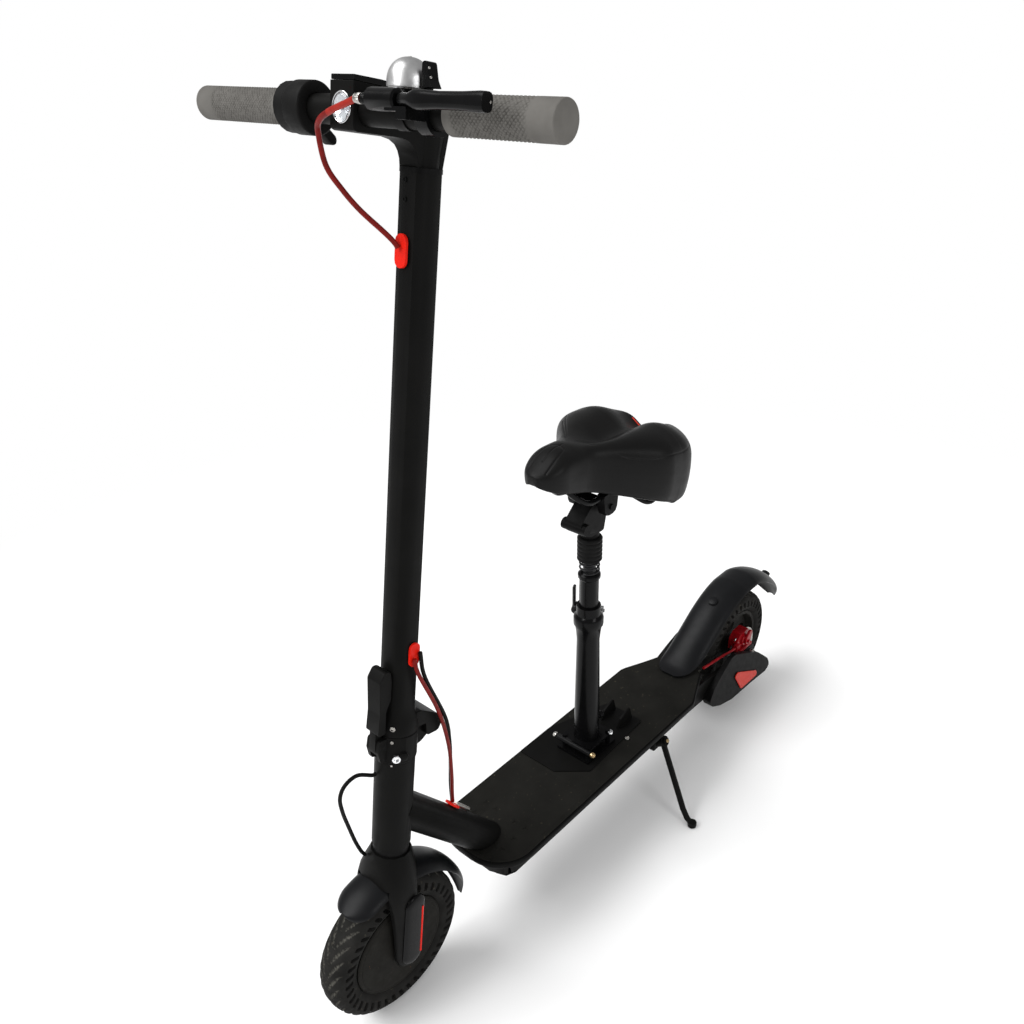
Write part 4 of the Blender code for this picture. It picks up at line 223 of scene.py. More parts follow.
STEEL = finish("plated_steel", (0.42, 0.41, 0.39), (0.62, 0.60, 0.57), 240, (0.18, 0.34), 1800, 0.2, 1.0, 0.5)
BRASS = finish("brass", (0.42, 0.30, 0.15), (0.58, 0.43, 0.24), 240, (0.24, 0.4), 1800, 0.2, 1.0, 0.5)
CHROME = finish("lamp_chrome", (0.72, 0.73, 0.75), (0.86, 0.87, 0.88), 420, (0.05, 0.16), 700, 0.5, 1.0, 0.5)
DISC = finish("disc_steel", (0.30, 0.29, 0.27), (0.44, 0.42, 0.39), 160, (0.28, 0.42), 1700, 0.3, 1.0, 0.5)
VINYL = finish("saddle_vinyl", (0.0042, 0.0041, 0.0041), (0.0060, 0.0059, 0.0058), 16, (0.36, 0.46),
               1250, 0.45, specular=0.13)
WRAP = finish("battery_wrap", (0.02, 0.06, 0.14), (0.03, 0.08, 0.18), 60, (0.35, 0.5), 1500, 0.2)
GLASS = finish("clear_lens", (0.86, 0.88, 0.90), (0.93, 0.94, 0.95), 90, (0.02, 0.05),
               900, 0.04, specular=0.5)
given(GLASS.node_tree.nodes["Principled BSDF"], {"Transmission Weight": 1.0})


# Surfaces

def hung(mesh, shape, surface, body, smooth=SHARP):
    """Puts a worked shape in its mesh, smooth but for its sharp edges, and hangs it on its body. A piece
    without a body is left where it is, hung on none."""
    shape.to_mesh(mesh)
    shape.free()
    mesh.materials.append(surface)
    mesh.shade_smooth()
    mesh.set_sharp_from_angle(angle=math.radians(smooth))
    obj = bpy.data.objects.new(mesh.name, mesh)
    bpy.context.scene.collection.objects.link(obj)
    if body:
        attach(obj, body)
    return obj


def place_mesh(name, points, faces, surface, body, smooth=SHARP, closed=True):
    """A piece made of points and faces, its seams closed and its faces turned outwards."""
    mesh, shape = bpy.data.meshes.new(name), bmesh.new()
    mesh.from_pydata(points, [], faces)
    shape.from_mesh(mesh)
    bmesh.ops.remove_doubles(shape, verts=shape.verts, dist=MERGE)
    if closed:
        bmesh.ops.recalc_face_normals(shape, faces=shape.faces)
    return hung(mesh, shape, surface, body, smooth)


def grid_faces(rows, across, row_loop, across_loop):
    """The quads of a grid of rows by across points, which may close on itself either way."""
    i = np.arange(rows if row_loop else rows - 1)[:, None]
    left = np.arange(across if across_loop else across - 1)[None, :]
    right = (left + 1) % across
    below, above = i * across, (i + 1) % rows * across
    quads = np.stack([below + left, below + right, above + right, above + left], -1)
    return quads.reshape(-1, 4).tolist()


def skin(name, rows, surface, body, row_loop=False, across_loop=True, caps=(), smooth=SHARP,
         closed=True):
    """A surface through rows of points, with caps (0 for the first row, -1 for the last) fanned from their
    middles."""
    rows = np.asarray(rows, float)
    count, across = rows.shape[:2]
    points, faces = rows.reshape(-1, 3), grid_faces(count, across, row_loop, across_loop)
    for cap in caps:
        ring = (count - 1 if cap else 0) * across + np.arange(across)
        faces += np.stack([ring, np.roll(ring, -1), np.full(across, len(points))], -1).tolist()
        points = np.vstack([points, rows[cap].mean(0)])
    return place_mesh(name, points.tolist(), faces, surface, body, smooth, closed)


def square_to(axis):
    """Two directions square to an axis and to each other."""
    first = np.cross(axis, Y if abs(axis[1]) < 0.7 else Z)
    first /= np.linalg.norm(first)
    return first, np.cross(axis, first)


def turned_rows(profile, centre, axis, steps):
    """Each (radius, height) of a profile carried round an axis: centre + height along it + radius out."""
    axis = np.asarray(axis, float) / np.linalg.norm(axis)
    profile = np.asarray(profile, float)
    out = circle(around(steps), *square_to(axis))
    return centre + profile[:, 1, None, None] * axis + profile[:, 0, None, None] * out


def turned(name, profile, centre, axis, surface, body, steps=64, ring=False, smooth=SHARP):
    """A lathe shape. A ring's profile closes on itself; any other starts and ends on the axis."""
    return skin(name, turned_rows(profile, centre, axis, steps), surface, body, row_loop=ring,
                smooth=smooth)


def smooth_line(points, between=8):
    """A Catmull-Rom curve through the points: the same line that the model's cables follow."""
    points = np.asarray(points, float)
    ends = np.vstack([2 * points[0] - points[1], points, 2 * points[-1] - points[-2]])
    t = np.arange(between)[None, :, None] / between
    a, b, c, d = (ends[k:len(ends) - 3 + k, None] for k in range(4))
    line = (2 * b + (c - a) * t + (2 * a - 5 * b + 4 * c - d) * t ** 2 + (3 * b - a - 3 * c + d) * t ** 3) / 2
    return np.vstack([line.reshape(-1, points.shape[1]), points[-1]])


def swept(name, line, radius, surface, body, sides=20):
    """A round bar along a line: at each point, a circle square to the line, whose start turns as little as it
    can."""
    line = np.asarray(line, float)
    heading = np.gradient(line, axis=0)
    heading /= np.linalg.norm(heading, axis=1)[:, None]
    side = square_to(heading[0])[0]
    firsts = []
    for way in heading:
        side = side - way * (side @ way)
        side /= np.linalg.norm(side)
        firsts.append(side)
    firsts = np.array(firsts)
    seconds = np.cross(heading, firsts)
    radius = np.broadcast_to(radius, len(line))[:, None, None]
    rows = line[:, None] + radius * circle(around(sides), firsts[:, None], seconds[:, None])
    return skin(name, rows, surface, body, caps=(0, -1))


def bevelled(obj, width, segments=2, angle=SHARP):
    """Rounds a piece's sharp edges."""
    bevel = obj.modifiers.new("rounded_edges", "BEVEL")
    bevel.width = width
    bevel.segments = segments
    bevel.limit_method = "ANGLE"
    bevel.angle_limit = math.radians(angle)
    bevel.harden_normals = True
    return obj


def dressed(node, surface, width):
    """A copy of a CAD node's own mesh, its triangles merged into flat faces, smooth over its curves and
    rounded at its edges, shown in the node's place."""
    source, shape = NODES[node], bmesh.new()
    shape.from_mesh(source.data)
    bmesh.ops.remove_doubles(shape, verts=shape.verts, dist=MERGE / 2)
    bmesh.ops.dissolve_limit(shape, angle_limit=math.radians(FLAT), verts=shape.verts, edges=shape.edges)
    obj = hung(bpy.data.meshes.new(node + "_shown"), shape, surface, source["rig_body"])
    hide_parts(node)
    return bevelled(obj, width) if width else obj


def set_groove_tone(obj, values):
    """Gives a piece's points their groove depths, which lay its pale colour, in the order of its rows, as far
    as both of them reach.
    """
    groove_tone = np.zeros(len(obj.data.vertices), np.float32)
    shared = min(values.size, len(groove_tone))
    groove_tone[:shared] = values.ravel()[:shared]
    obj.data.attributes.new("groove_tone", "FLOAT", "POINT").data.foreach_set("value", groove_tone)


# Pieces that keep the CAD model's shape

def narrow_foot(head):
    """Towards its foot the head narrows to the stem's own section, by a share that rises smoothly with height
    and with the distance ahead."""
    for vertex in head.data.vertices:
        away = np.array(vertex.co) - STEER_FOOT
        s, n, y = away @ ALONG, away @ AHEAD, away @ Y
        share = 1 - 0.17 * (1 - ease(s, 0.930, 0.975)) * (1 - ease(n, 0.026, 0.046))
        vertex.co = steer(s, n * share, y * share)


# Each node is given with the width of its rounded edges
for surface, slot, pieces in (
    (PAINT, "frame_paint", {
        "main_frame": 0.0010, "kickstand_bracket": 0.0006, "kickstand": 0.0006, "seat_strap_plate": 0.0003,
        "fork": 0.0010, "fold_base": 0.0006, "stem_tube": 0.0006, "stem_head": 0.0008, "fold_latch": 0.0008}),
    (GLOSSY, "frame_paint", {"seat_mast": 0.0004, "seat_post": 0.0003}),
    (GLOSSY, "moulded_black", {
        "dash_cover": 0.0006, "brake_perch": 0.0006, "bell_lever": 0.0003, "brake_lever": 0.0008}),
    (CASTING, "moulded_black", {
        "bottom_cover": 0.0008, "rear_cover_left": 0.0014, "rear_cover_right": 0.0014,
        "saddle_clamp": 0.0007}),
    (CASTING, "saddle_shell", {"saddle_rails": 0.0004}),
    # The steel bearings are drawn in the cast black as painted shade, so that the gap round them looks dark
    (CASTING, "steel", {"upper_bearing": 0.0002, "lower_bearing": 0.0002}),
    (DECK_RUBBER, "deck_rubber", {"deck_mat": 0.0006}),
    (RUBBER, "black_rubber", {"power_button": 0.0003, "throttle_lever": 0.0006}),
    (REFLECTOR, "reflector_red", {"rear_reflector_left": 0.0004, "rear_reflector_right": 0.0004}),
    (SIGNAL, "red_rubber", {"upper_grommet": 0.0004, "lower_grommet": 0.0004, "neck_grommet": 0.0004}),
    (CALIPER, "caliper_red", {"caliper_arm": 0.0005, "brake_caliper": 0.0007}),
    (HUB, "hub_metal", {"rear_hub": 0.0005}),
    (STEEL, "steel", {"rear_axle": 0.0006}),
    (DISC, "steel", {"brake_disc": 0.0002}),
    # The steel piston is drawn in the dark steel as painted shade for the dark inside of the spring
    (DARK_STEEL, "steel", {"seat_piston": 0.0004}),
    (DARK_STEEL, "silver", {"seat_qr_lever": 0.0006}),
    (SILVER, "controller_case", {"motor_controller": 0.0}),
    (WRAP, "battery_wrap", {"battery_pack": 0.0}),
):
    for node, width in pieces.items():
        shown = dressed(node, surface, width)
        if node == "stem_head":
            narrow_foot(shown)


# Smooth deck edge, mat and fork covers

def rounded(corners):
    """An outline whose corners (x, y, radius) are arcs: each arc's middle lies on the corner's halving line,
    its radius over the sine of half the corner's angle away from the corner."""
    line = []
    for k, (x, y, radius) in enumerate(corners):
        corner = np.array((x, y))
        before = np.array(corners[k - 1][:2]) - corner
        after = np.array(corners[(k + 1) % len(corners)][:2]) - corner
        before, after = before / np.linalg.norm(before), after / np.linalg.norm(after)
        half = math.acos(float(np.clip(before @ after, -1, 1))) / 2
        middle = corner + (before + after) / np.linalg.norm(before + after) * radius / math.sin(half)
        start = corner + before * radius / math.tan(half) - middle
        end = corner + after * radius / math.tan(half) - middle
        turn = math.atan2(start[0] * end[1] - start[1] * end[0], start @ end)
        for a in turn * np.linspace(0, 1, 24):
            line.append(middle + (start[0] * math.cos(a) - start[1] * math.sin(a),
                                  start[0] * math.sin(a) + start[1] * math.cos(a)))
    return np.array(line)


def deck_ring(inset, z):
    """The deck's outline, drawn in by an inset, at one height."""
    half = [(0.697 - inset, 0.0733 - inset, 0.060 - inset), (0.228, 0.0733 - inset, 0.03),
            (0.202, 0.0615 - inset, 0.02), (0.150 + inset, 0.040 - inset, 0.008)]
    outline = rounded(half + [(x, -y, size) for x, y, size in reversed(half)])
    return np.stack([outline[:, 0] - MIDDLE_X, outline[:, 1], np.full(len(outline), z)], 1)


skin("deck_edge_band", [deck_ring(*p) for p in (
    (0.0070, 0.1483), (0.0024, 0.1483), (0.0010, 0.1479), (0.0002, 0.1471), (-0.0002, 0.1460),
    (-0.0002, 0.1407), (0.0002, 0.1396), (0.0010, 0.1388), (0.0024, 0.1384), (0.0070, 0.1384))],
     PAINT, "chassis", row_loop=True)
skin("deck_mat_sheet", [deck_ring(*p) for p in (
    (0.0034, 0.1487), (0.0029, 0.1489), (0.0029, 0.1499), (0.0031, 0.1504), (0.0036, 0.1506))],
     DECK_RUBBER, "chassis", caps=(0, -1))

# A dark band inside the joint between the stem and its head
liner = rounded([(n * 0.0171, y * 0.0171, 0.0126) for n, y in ((1, 1), (-1, 1), (-1, -1), (1, -1))])
skin("head_seam_liner", [[steer(s, n, y) for n, y in liner] for s in (0.9150, 0.9190)], CASTING, "stem",
     caps=(0, -1))


def tread_marks(spots, arm=0.0048, half=0.00075, low=0.1500, high=0.1515):
    """Raised three-armed marks: each arm is a wedge whose top is narrower and shorter than its foot."""
    points, faces = [], []
    for x, y, start in spots:
        for bearing in start + np.radians((90, 210, 330)):
            way = np.array((math.cos(bearing), math.sin(bearing)))
            side = np.array((-way[1], way[0]))
            first = len(points)
            for z, long, wide in ((low, arm, half), (high, arm * 0.90, half * 0.55)):
                for a, b in ((-0.0004, -wide), (long, -wide * 0.8), (long, wide * 0.8), (-0.0004, wide)):
                    points.append((*(np.array((x, y)) + way * a + side * b), z))
            faces += [tuple(first + k for k in face) for face in (
                (3, 2, 1, 0), (4, 5, 6, 7), (0, 1, 5, 4), (1, 2, 6, 5), (2, 3, 7, 6), (3, 0, 4, 7))]
    return place_mesh("deck_mat_marks", points, faces, DECK_RUBBER, "chassis")


tread_marks([(x, side * y, side * start) for side in (1, -1) for x, y, start in (
    (0.2225, 0.0187, 0.35), (0.2215, 0.0386, 0.0), (0.2460, 0.0381, 0.3), (0.2740, 0.0285, -0.2),
    (0.2709, 0.0390, 0.5), (0.2963, 0.0215, 0.1), (0.2955, 0.0390, -0.3))])


def fork_cover(side, sign):
    """A long domed cover: its outline is two half circles, set apart along the fork, and it draws in as it
    stands out."""
    turn = around(96)
    rows = []
    for inset, y in ((0.0, 0.0403), (0.0, 0.0410), (0.0004, 0.0419), (0.0014, 0.0429), (0.0030, 0.0438),
                     (0.0055, 0.0446), (0.0085, 0.0450), (0.0120, 0.0452), (0.0155, 0.0453)):
        n = -0.008 + (0.016 - inset) * np.sin(turn)
        s = np.where(np.cos(turn) > 0, 0.086, 0.002) + (0.016 - inset) * np.cos(turn)
        rows.append(STEER_FOOT + s[:, None] * ALONG + n[:, None] * AHEAD + sign * y * Y)
    cover = skin(f"fork_cover_{side}_shell", rows, GLOSSY, "steering", caps=(0, -1))
    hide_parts(f"fork_cover_{side}")


fork_cover("left", 1)
fork_cover("right", -1)
swept("fork_cover_strip", smooth_line([steer(s, n, y) for s, n, y in (
    (0.0810, -0.0180, 0.0436), (0.0600, -0.0186, 0.0436), (0.0300, -0.0192, 0.0434),
    (0.0020, -0.0196, 0.0434))]), 0.0020, SIGNAL, "steering", 16)


# Wheels

SLOTS, SLOT_DEPTH = 40, 0.0062        # in each side wall
SLOT_RADIUS = 0.0882                  # the middle of the ring of slots
LEAVES, LEAF_DEPTH = 30, 0.0014       # in each half of the tread
WAVE = 0.00035                        # how far the tread's edge rises and falls beside the slots


def tyre(name, node, centre, body, steps=720):
    """A closed section carried round the wheel. Its radius falls by a slanted leaf-shaped groove on each half
    of the tread, and its side walls go in by a ring of slanted rounded slots, both repeated all round."""
    half = [(0.0723, 0.0170), (0.0765, 0.0206), (0.0810, 0.0224), (0.0870, 0.0233), (0.0935, 0.0229),
            (0.0992, 0.0206), (0.1040, 0.0162), (0.1069, 0.0095), (0.1080, 0.0)]
    section = smooth_line(half + [(r, -y) for r, y in half[-2::-1]], 5)
    radius, side = section[:, 0, None], section[:, 1, None]
    turn = around(steps)[None, :]
    pitch = 2 * math.pi / SLOTS

    across = np.abs(side) / 0.0206
    leaf = 0.20 * np.clip(1 - ((across - 0.50) / 0.44) ** 2, 0, 1)
    nearest = (turn * LEAVES / (2 * math.pi) - 1.9 * across - 0.12 * np.sin(3 * across) + 0.5) % 1 - 0.5
    groove = ease(leaf - np.abs(nearest), 0.0, 0.05) * (radius > 0.0980)

    slanted = (turn / pitch + 0.30 * (radius - SLOT_RADIUS) / 0.01 + 0.5) % 1 - 0.5
    length = np.abs(radius - SLOT_RADIUS) - 0.0044
    width = np.abs(slanted) * pitch * radius - 0.0016
    corner = np.hypot(np.maximum(length, 0), np.maximum(width, 0)) + np.minimum(np.maximum(length, width), 0)
    slot = (1 - ease(corner, 0.0002, 0.0014)) * (np.abs(side) > 0.012)

    waves = WAVE * np.cos(2 * math.pi * turn / pitch) * ease(radius, 0.098, 0.104)
    r = radius - LEAF_DEPTH * groove - WAVE + waves
    y = side - np.sign(side) * SLOT_DEPTH * slot
    points = centre + r[..., None] * circle(turn, X, Z) + y[..., None] * Y
    obj = skin(name, points, TYRE, body, row_loop=True, smooth=50)
    # The tread's grooves, by their depth, take the tyre's lighter colour
    set_groove_tone(obj, groove)
    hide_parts(node)


tyre("front_tyre_rubber", "front_tyre", FRONT_WHEEL, "front_wheel")
tyre("rear_tyre_rubber", "rear_tyre", REAR_WHEEL, "rear_wheel")

hub_half = [(0.0719, 0.0), (0.0719, 0.0176), (0.0712, 0.0190), (0.0690, 0.0204), (0.0664, 0.0209),
            (0.0655, 0.0204), (0.0647, 0.0204), (0.0638, 0.0214), (0.0400, 0.0231), (0.0310, 0.0238),
            (0.0300, 0.0236), (0.0292, 0.0239), (0.0130, 0.0245), (0.0, 0.0246)]
hub_profile = smooth_line([(r, -y) for r, y in reversed(hub_half[1:])] + hub_half, 3)
front_hub = turned("front_hub_cover", hub_profile, FRONT_WHEEL, Y, HUB, "front_wheel", 160)
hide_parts("front_hub")


# Fenders

WALL = 0.0025                         # a fender's thickness
FRONT_HALF, FRONT_SINK = 0.0275, 0.013
FRONT_REACH = 0.1240                  # from the front wheel's middle to the arch
STUD_ROUND = 0.0016                   # how far a stud's end is softened


def fender(name, node, spots, outward, half, sink, body):
    """An open arch: across it, side runs from -1 to 1, and a point drops by sink times one less the root of
    one less 0.96 side squared. A wall is added on its inner side and its edges are rounded."""
    side = np.sin(np.linspace(-1, 1, 61) * math.pi / 2)[None, :, None]
    drop = sink[:, None, None] * (1 - np.sqrt(1 - 0.96 * side ** 2))
    rows = spots[:, None] - outward[:, None] * drop + Y * half[:, None, None] * side
    obj = skin(name, rows[:, ::-1], FENDER, body, across_loop=False, smooth=60,
               closed=False)
    wall = obj.modifiers.new("wall", "SOLIDIFY")
    wall.thickness = WALL
    wall.offset = -1
    wall.use_even_offset = True
    wall.use_quality_normals = True
    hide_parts(node)
    return bevelled(obj, 0.0009, 3, 50)


def front_fender():
    """From nose to tail, share runs from 0 to 1 and the arch turns by 132 degrees about the wheel. The nose
    widens as a quarter circle does; the tail narrows to its fin by a power of its share and lifts."""
    near = 0.11 * (1 - np.cos(np.linspace(0, math.pi / 2, 18, endpoint=False)))
    share = np.concatenate([near, np.linspace(0.11, 1, 108)])
    outward = circle(np.radians(50 + 132 * share), AHEAD, ALONG)
    nose = 0.26 + 0.74 * np.sqrt(1 - (1 - np.minimum(1, share / 0.09)) ** 2)
    tail = 1 - 0.93 * np.maximum(0, (share - 0.62) / 0.38) ** 1.5
    width = np.minimum(nose, tail)
    lift = 0.006 * np.maximum(0, (share - 0.7) / 0.3) ** 2
    fender("front_fender_shell", "front_fender", FRONT_WHEEL + outward * (FRONT_REACH + lift)[:, None],
           outward, FRONT_HALF * width, FRONT_SINK * width, "steering")


def rear_fender():
    """The arch follows stations of (distance, height, half width, sink); outward is square to its line."""
    stations = smooth_line([
        (0.1955, 0.1537, 0.0110, 0.0002), (0.1915, 0.1541, 0.0185, 0.0004), (0.1830, 0.1556, 0.0250, 0.0020),
        (0.1700, 0.1612, 0.0290, 0.0070), (0.1450, 0.1765, 0.0315, 0.0150), (0.1100, 0.2020, 0.032, 0.017),
        (0.0800, 0.2230, 0.032, 0.017), (0.0450, 0.2405, 0.032, 0.017), (0.0080, 0.2500, 0.032, 0.017),
        (-0.0300, 0.2500, 0.032, 0.017), (-0.0660, 0.2380, 0.032, 0.017), (-0.0970, 0.2190, 0.0310, 0.0170),
        (-0.1250, 0.1935, 0.0280, 0.0140), (-0.1475, 0.1650, 0.0200, 0.0100),
        (-0.168, 0.1330, 0.0060, 0.0030)])
    x, z, half, sink = stations.T
    spots = np.stack([x - MIDDLE_X, 0 * x, np.minimum(z, 0.2500)], 1)
    way = np.gradient(spots, axis=0)
    outward = np.stack([way[:, 2], 0 * x, -way[:, 0]], 1)
    outward /= np.linalg.norm(outward, axis=1)[:, None]
    fender("rear_fender_shell", "rear_fender", spots, outward, half, np.maximum(sink, 0.0002), "chassis")


def fender_stud(name, foot, top, radius):
    """A round peg with a softened end."""
    foot, top = chassis(*foot), chassis(*top)
    tall = np.linalg.norm(top - foot)
    turned(name, [(0, 0), (radius, 0), (radius, tall - STUD_ROUND), (radius - 0.0005, tall - 0.0005),
                  (radius - STUD_ROUND, tall), (0, tall)], foot, top - foot, FENDER, "chassis",
           48)


front_fender()
rear_fender()
fender_stud("fender_plug", (0.0600, 0, 0.2280), (0.0650, 0, 0.2385), 0.0085)
fender_stud("fender_hook", (-0.1180, 0, 0.1900), (-0.1325, 0, 0.2000), 0.0078)


# Handlebar, grips, throttle and bell

DIAMONDS = 12                         # round a grip
DIAMOND_LONG, DIAMOND_DEEP = 0.0074, 0.0006


def bar_piece(name, node, profile, surface):
    """A ring about the handlebar; heights in its profile are distances to the left."""
    obj = turned(name, profile, steer(HEAD_S, BAR_N), Y, surface, "stem", 96, True)
    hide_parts(node)


def grip(name, node, inner, sign, steps=192):
    """A sleeve whose radius falls in its middle part along two slanted waves, each a cosine to the eighth
    power, which cross to make small diamonds. Both ends stay smooth, and the outer one is a rounded cap."""
    y = np.concatenate([[inner + 0.0002, inner + 0.0002, inner + 0.0012],
                        np.linspace(inner + 0.0014, 0.2127, 168), [0.2133, 0.2137, 0.2139, 0.2139]])
    radius = np.concatenate([[0.0115, 0.0131, 0.01375], np.full(168, 0.0140), [0.0138, 0.0133, 0.0126, 0.0]])
    turn = around(steps)[None, :]
    rise = y[:, None] * 2 * math.pi / DIAMOND_LONG
    cut = np.maximum(np.cos(DIAMONDS * turn + rise) ** 8, np.cos(DIAMONDS * turn - rise) ** 8)
    middle = (ease(y, inner + 0.006, inner + 0.012) * (1 - ease(y, 0.186, 0.192)))[:, None]
    r = radius[:, None] - DIAMOND_DEEP * middle * cut
    points = steer(HEAD_S, BAR_N) + r[..., None] * circle(turn, AHEAD, ALONG) + sign * y[:, None, None] * Y
    obj = skin(name, points, GRIP, "stem", caps=(0,), smooth=60)
    # The knurl valleys, by their depth, take the grip's darker colour
    set_groove_tone(obj, middle * cut)
    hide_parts(node)


bar_piece("handlebar_tube", "handlebar", [(0.0112, 0.21), (0.0112, -0.21), (0.0090, -0.21), (0.0090, 0.21)],
          PAINT)
grip("grip_left_sleeve", "grip_left", 0.109, 1)
grip("grip_right_sleeve", "grip_right", 0.0865, -1)
bar_piece("throttle_drum", "throttle_housing", [
    (0.0186, -0.0510), (0.0197, -0.0513), (0.0203, -0.0520), (0.0205, -0.0530), (0.0205, -0.0716),
    (0.0202, -0.0724), (0.0197, -0.0730), (0.0140, -0.0732), (0.0135, -0.0736), (0.0135, -0.0860),
    (0.0115, -0.0862), (0.0115, -0.0510)], RUBBER)

bell_spot = steer(0, BAR_N, 0.060)
angle = np.linspace(0, math.pi / 2, 22)
dome = np.stack([0.01695 * np.sin(angle) ** 0.92, 0.9765 + 0.0160 * np.cos(angle)], 1)
bell = turned("bell_dome_shell", np.vstack([dome, [
    (0.01695, 0.9745), (0.0170, 0.9732), (0.0169, 0.9722), (0.0158, 0.9721), (0.0155, 0.9765),
    (0.0130, 0.9835), (0.0060, 0.9885), (0.0, 0.9890)]]), bell_spot, ALONG, BELL, "stem", 96,
              smooth=60)
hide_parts("bell_dome")
turned("bell_strap_ring", [(0.0124, 0.0060), (0.0124, -0.0060), (0.0115, -0.0060), (0.0115, 0.0060)],
       steer(HEAD_S, BAR_N, 0.060), Y, CASTING, "stem", 64, True)
turned("bell_post_rod", [(0, 0.9676), (0.0035, 0.9676), (0.0035, 0.9885), (0, 0.9885)], bell_spot, ALONG,
       STEEL, "stem", 32)


def screw(name, body, at, axis, radius, height, socket=0.5, surface=STEEL, sunk=0.55):
    """A low round head with a round recess: the recess is the head's own profile, turned inwards. socket is
    the recess's share of the radius and sunk its share of the height."""
    hole = radius * socket
    return turned(name, [(radius, -0.0004), (radius, height * 0.45), (radius * 0.86, height * 0.9),
                         (radius * 0.68, height), (hole, height), (hole * 0.96, height * (1 - sunk)),
                         (0, height * (1 - sunk))], at, axis, surface, body, 24, smooth=30)


screw("bell_rivet", "stem", bell_spot + ALONG * 0.9922, ALONG, 0.0016, 0.0006, 0.3)
for end, s, y in (("upper", 0.9090, -0.0005), ("lower", 0.8935, 0.0)):
    screw(f"stem_screw_{end}", "stem", steer(s, 0.0179, y), AHEAD, 0.0022, 0.0009, 0.55, CASTING)

# Headlight: a chrome bowl with a bright rim, behind a clear front
lamp = steer(0.957, 0.088)
lens = turned("headlight_front", [
    (0, 0.0027), (0.004, 0.0023), (0.008, 0.0012), (0.0104, 0.0002), (0.0107, -0.0006), (0.0080, 0.0002),
    (0.004, 0.0014), (0, 0.0018)], lamp, AHEAD, GLASS, "stem", 64, smooth=60)
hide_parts("headlight_lens")
turned("headlight_bowl", [
    (0.0104, -0.0006), (0.0100, -0.0008), (0.0078, -0.0016), (0.0048, -0.0025), (0.0022, -0.0028),
    (0.0020, -0.0012), (0.0008, -0.0007), (0, -0.0006), (0, -0.0034), (0.0104, -0.0034)], lamp, AHEAD, CHROME,
       "stem", 12, smooth=10)
rim = around(10)
turned("headlight_rim", np.stack([0.0109 + 0.0006 * np.cos(rim), 0.0006 * np.sin(rim)], 1),
       lamp + AHEAD * 0.0002, AHEAD, CHROME, "stem", 36, True)


# Cables

def cable(name, node, line, surface, body):
    """A cable along its line, shown in its node's place."""
    piece = swept(name, line, CABLE, surface, body)
    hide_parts(node)
    return piece


upper_line = smooth_line([steer(*p) for p in (
    (0.9625, 0.100, 0.0392), (0.9625, 0.100, 0.0332), (0.9585, 0.100, 0.019), (0.9530, 0.0985, -0.0015),
    (0.9470, 0.0960, -0.017), (0.9385, 0.0900, -0.0270), (0.9145, 0.0790, -0.0310),
    (0.8975, 0.0650, -0.0275), (0.8820, 0.0500, -0.0210), (0.8660, 0.0330, -0.0085),
    (0.8585, 0.0260, -0.0030), (0.8540, STEM_FACE + 0.0055, 0))])
split = len(upper_line) * 3 // 10
cable("brake_cable_upper_line", "brake_cable_upper", upper_line[split - 1:], CABLE_RED, "stem")
swept("brake_cable_upper_sleeve", upper_line[:split], CABLE + 0.0001, SLEEVE_RED, "stem")

NECK_RADIUS = 0.024
neck_foot, neck_head = np.array((0.659, 0, 0.1475)), np.array((0.800, 0, 0.325))
neck_way = (neck_head - neck_foot) / np.linalg.norm(neck_head - neck_foot)
neck_up = np.array((-neck_way[2], 0, neck_way[0]))


def neck_point(x, y=0.0, above=0.0):
    """A point over the neck tube's upper side, from its distance ahead of the rear axle."""
    top = math.sqrt(NECK_RADIUS ** 2 - y ** 2)
    length = (x - neck_foot[0] - neck_up[0] * top) / neck_way[0]
    return neck_foot + neck_way * length + neck_up * (top + above) + Y * y - X * MIDDLE_X


lying = STEM_FACE + 0.0036 + CABLE    # the middle of a cable that lies on the grommet's rim
brake_line = [steer(0.438, 0.0, lying)] + [chassis(*p) for p in (
    (0.7630, 0.0275, 0.5190), (0.7420, 0.0290, 0.4540), (0.7265, 0.0230, 0.3870), (0.7175, 0.0130, 0.3250),
    (0.7130, 0.0050, 0.2800))] + [neck_point(0.7135, above=0.0055)]
power_line = [steer(0.444, -0.008, lying)] + [chassis(*p) for p in (
    (0.7530, 0.0255, 0.5080), (0.7295, 0.0255, 0.4340), (0.7180, 0.0160, 0.3800), (0.7100, 0.0040, 0.3300),
    (0.7040, -0.0070, 0.2800))] + [neck_point(0.7020, -0.012, 0.0025)]
for name, node, line, surface, slot in (
    ("brake_cable_lower_line", "brake_cable_lower", brake_line, CABLE_RED, "cable_red"),
    ("power_cable_line", "power_cable", power_line, RUBBER, "black_rubber"),
):
    piece = cable(name, node, smooth_line(line), surface, None)
    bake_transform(piece)
cable("motor_cable_line", "motor_cable", smooth_line([steer(*p) for p in (
    (0.280, 0.0247, -0.005), (0.2802, 0.0300, -0.005), (0.2900, 0.0520, -0.006), (0.2845, 0.0695, -0.006),
    (0.2685, 0.0755, -0.007), (0.2440, 0.0695, -0.009), (0.2150, 0.0580, -0.012), (0.1850, 0.0455, -0.015),
    (0.1620, 0.0345, -0.0165), (0.1490, 0.0258, -0.0186))]), RUBBER, "steering")
cable("rear_brake_cable_line", "rear_brake_cable", smooth_line([chassis(*p) for p in (
    (0.0443, 0.043, 0.1410), (0.060, 0.0425, 0.1425), (0.090, 0.0400, 0.1465), (0.120, 0.0385, 0.1500),
    (0.1420, 0.0375, 0.1530))]), CALIPER, "chassis")


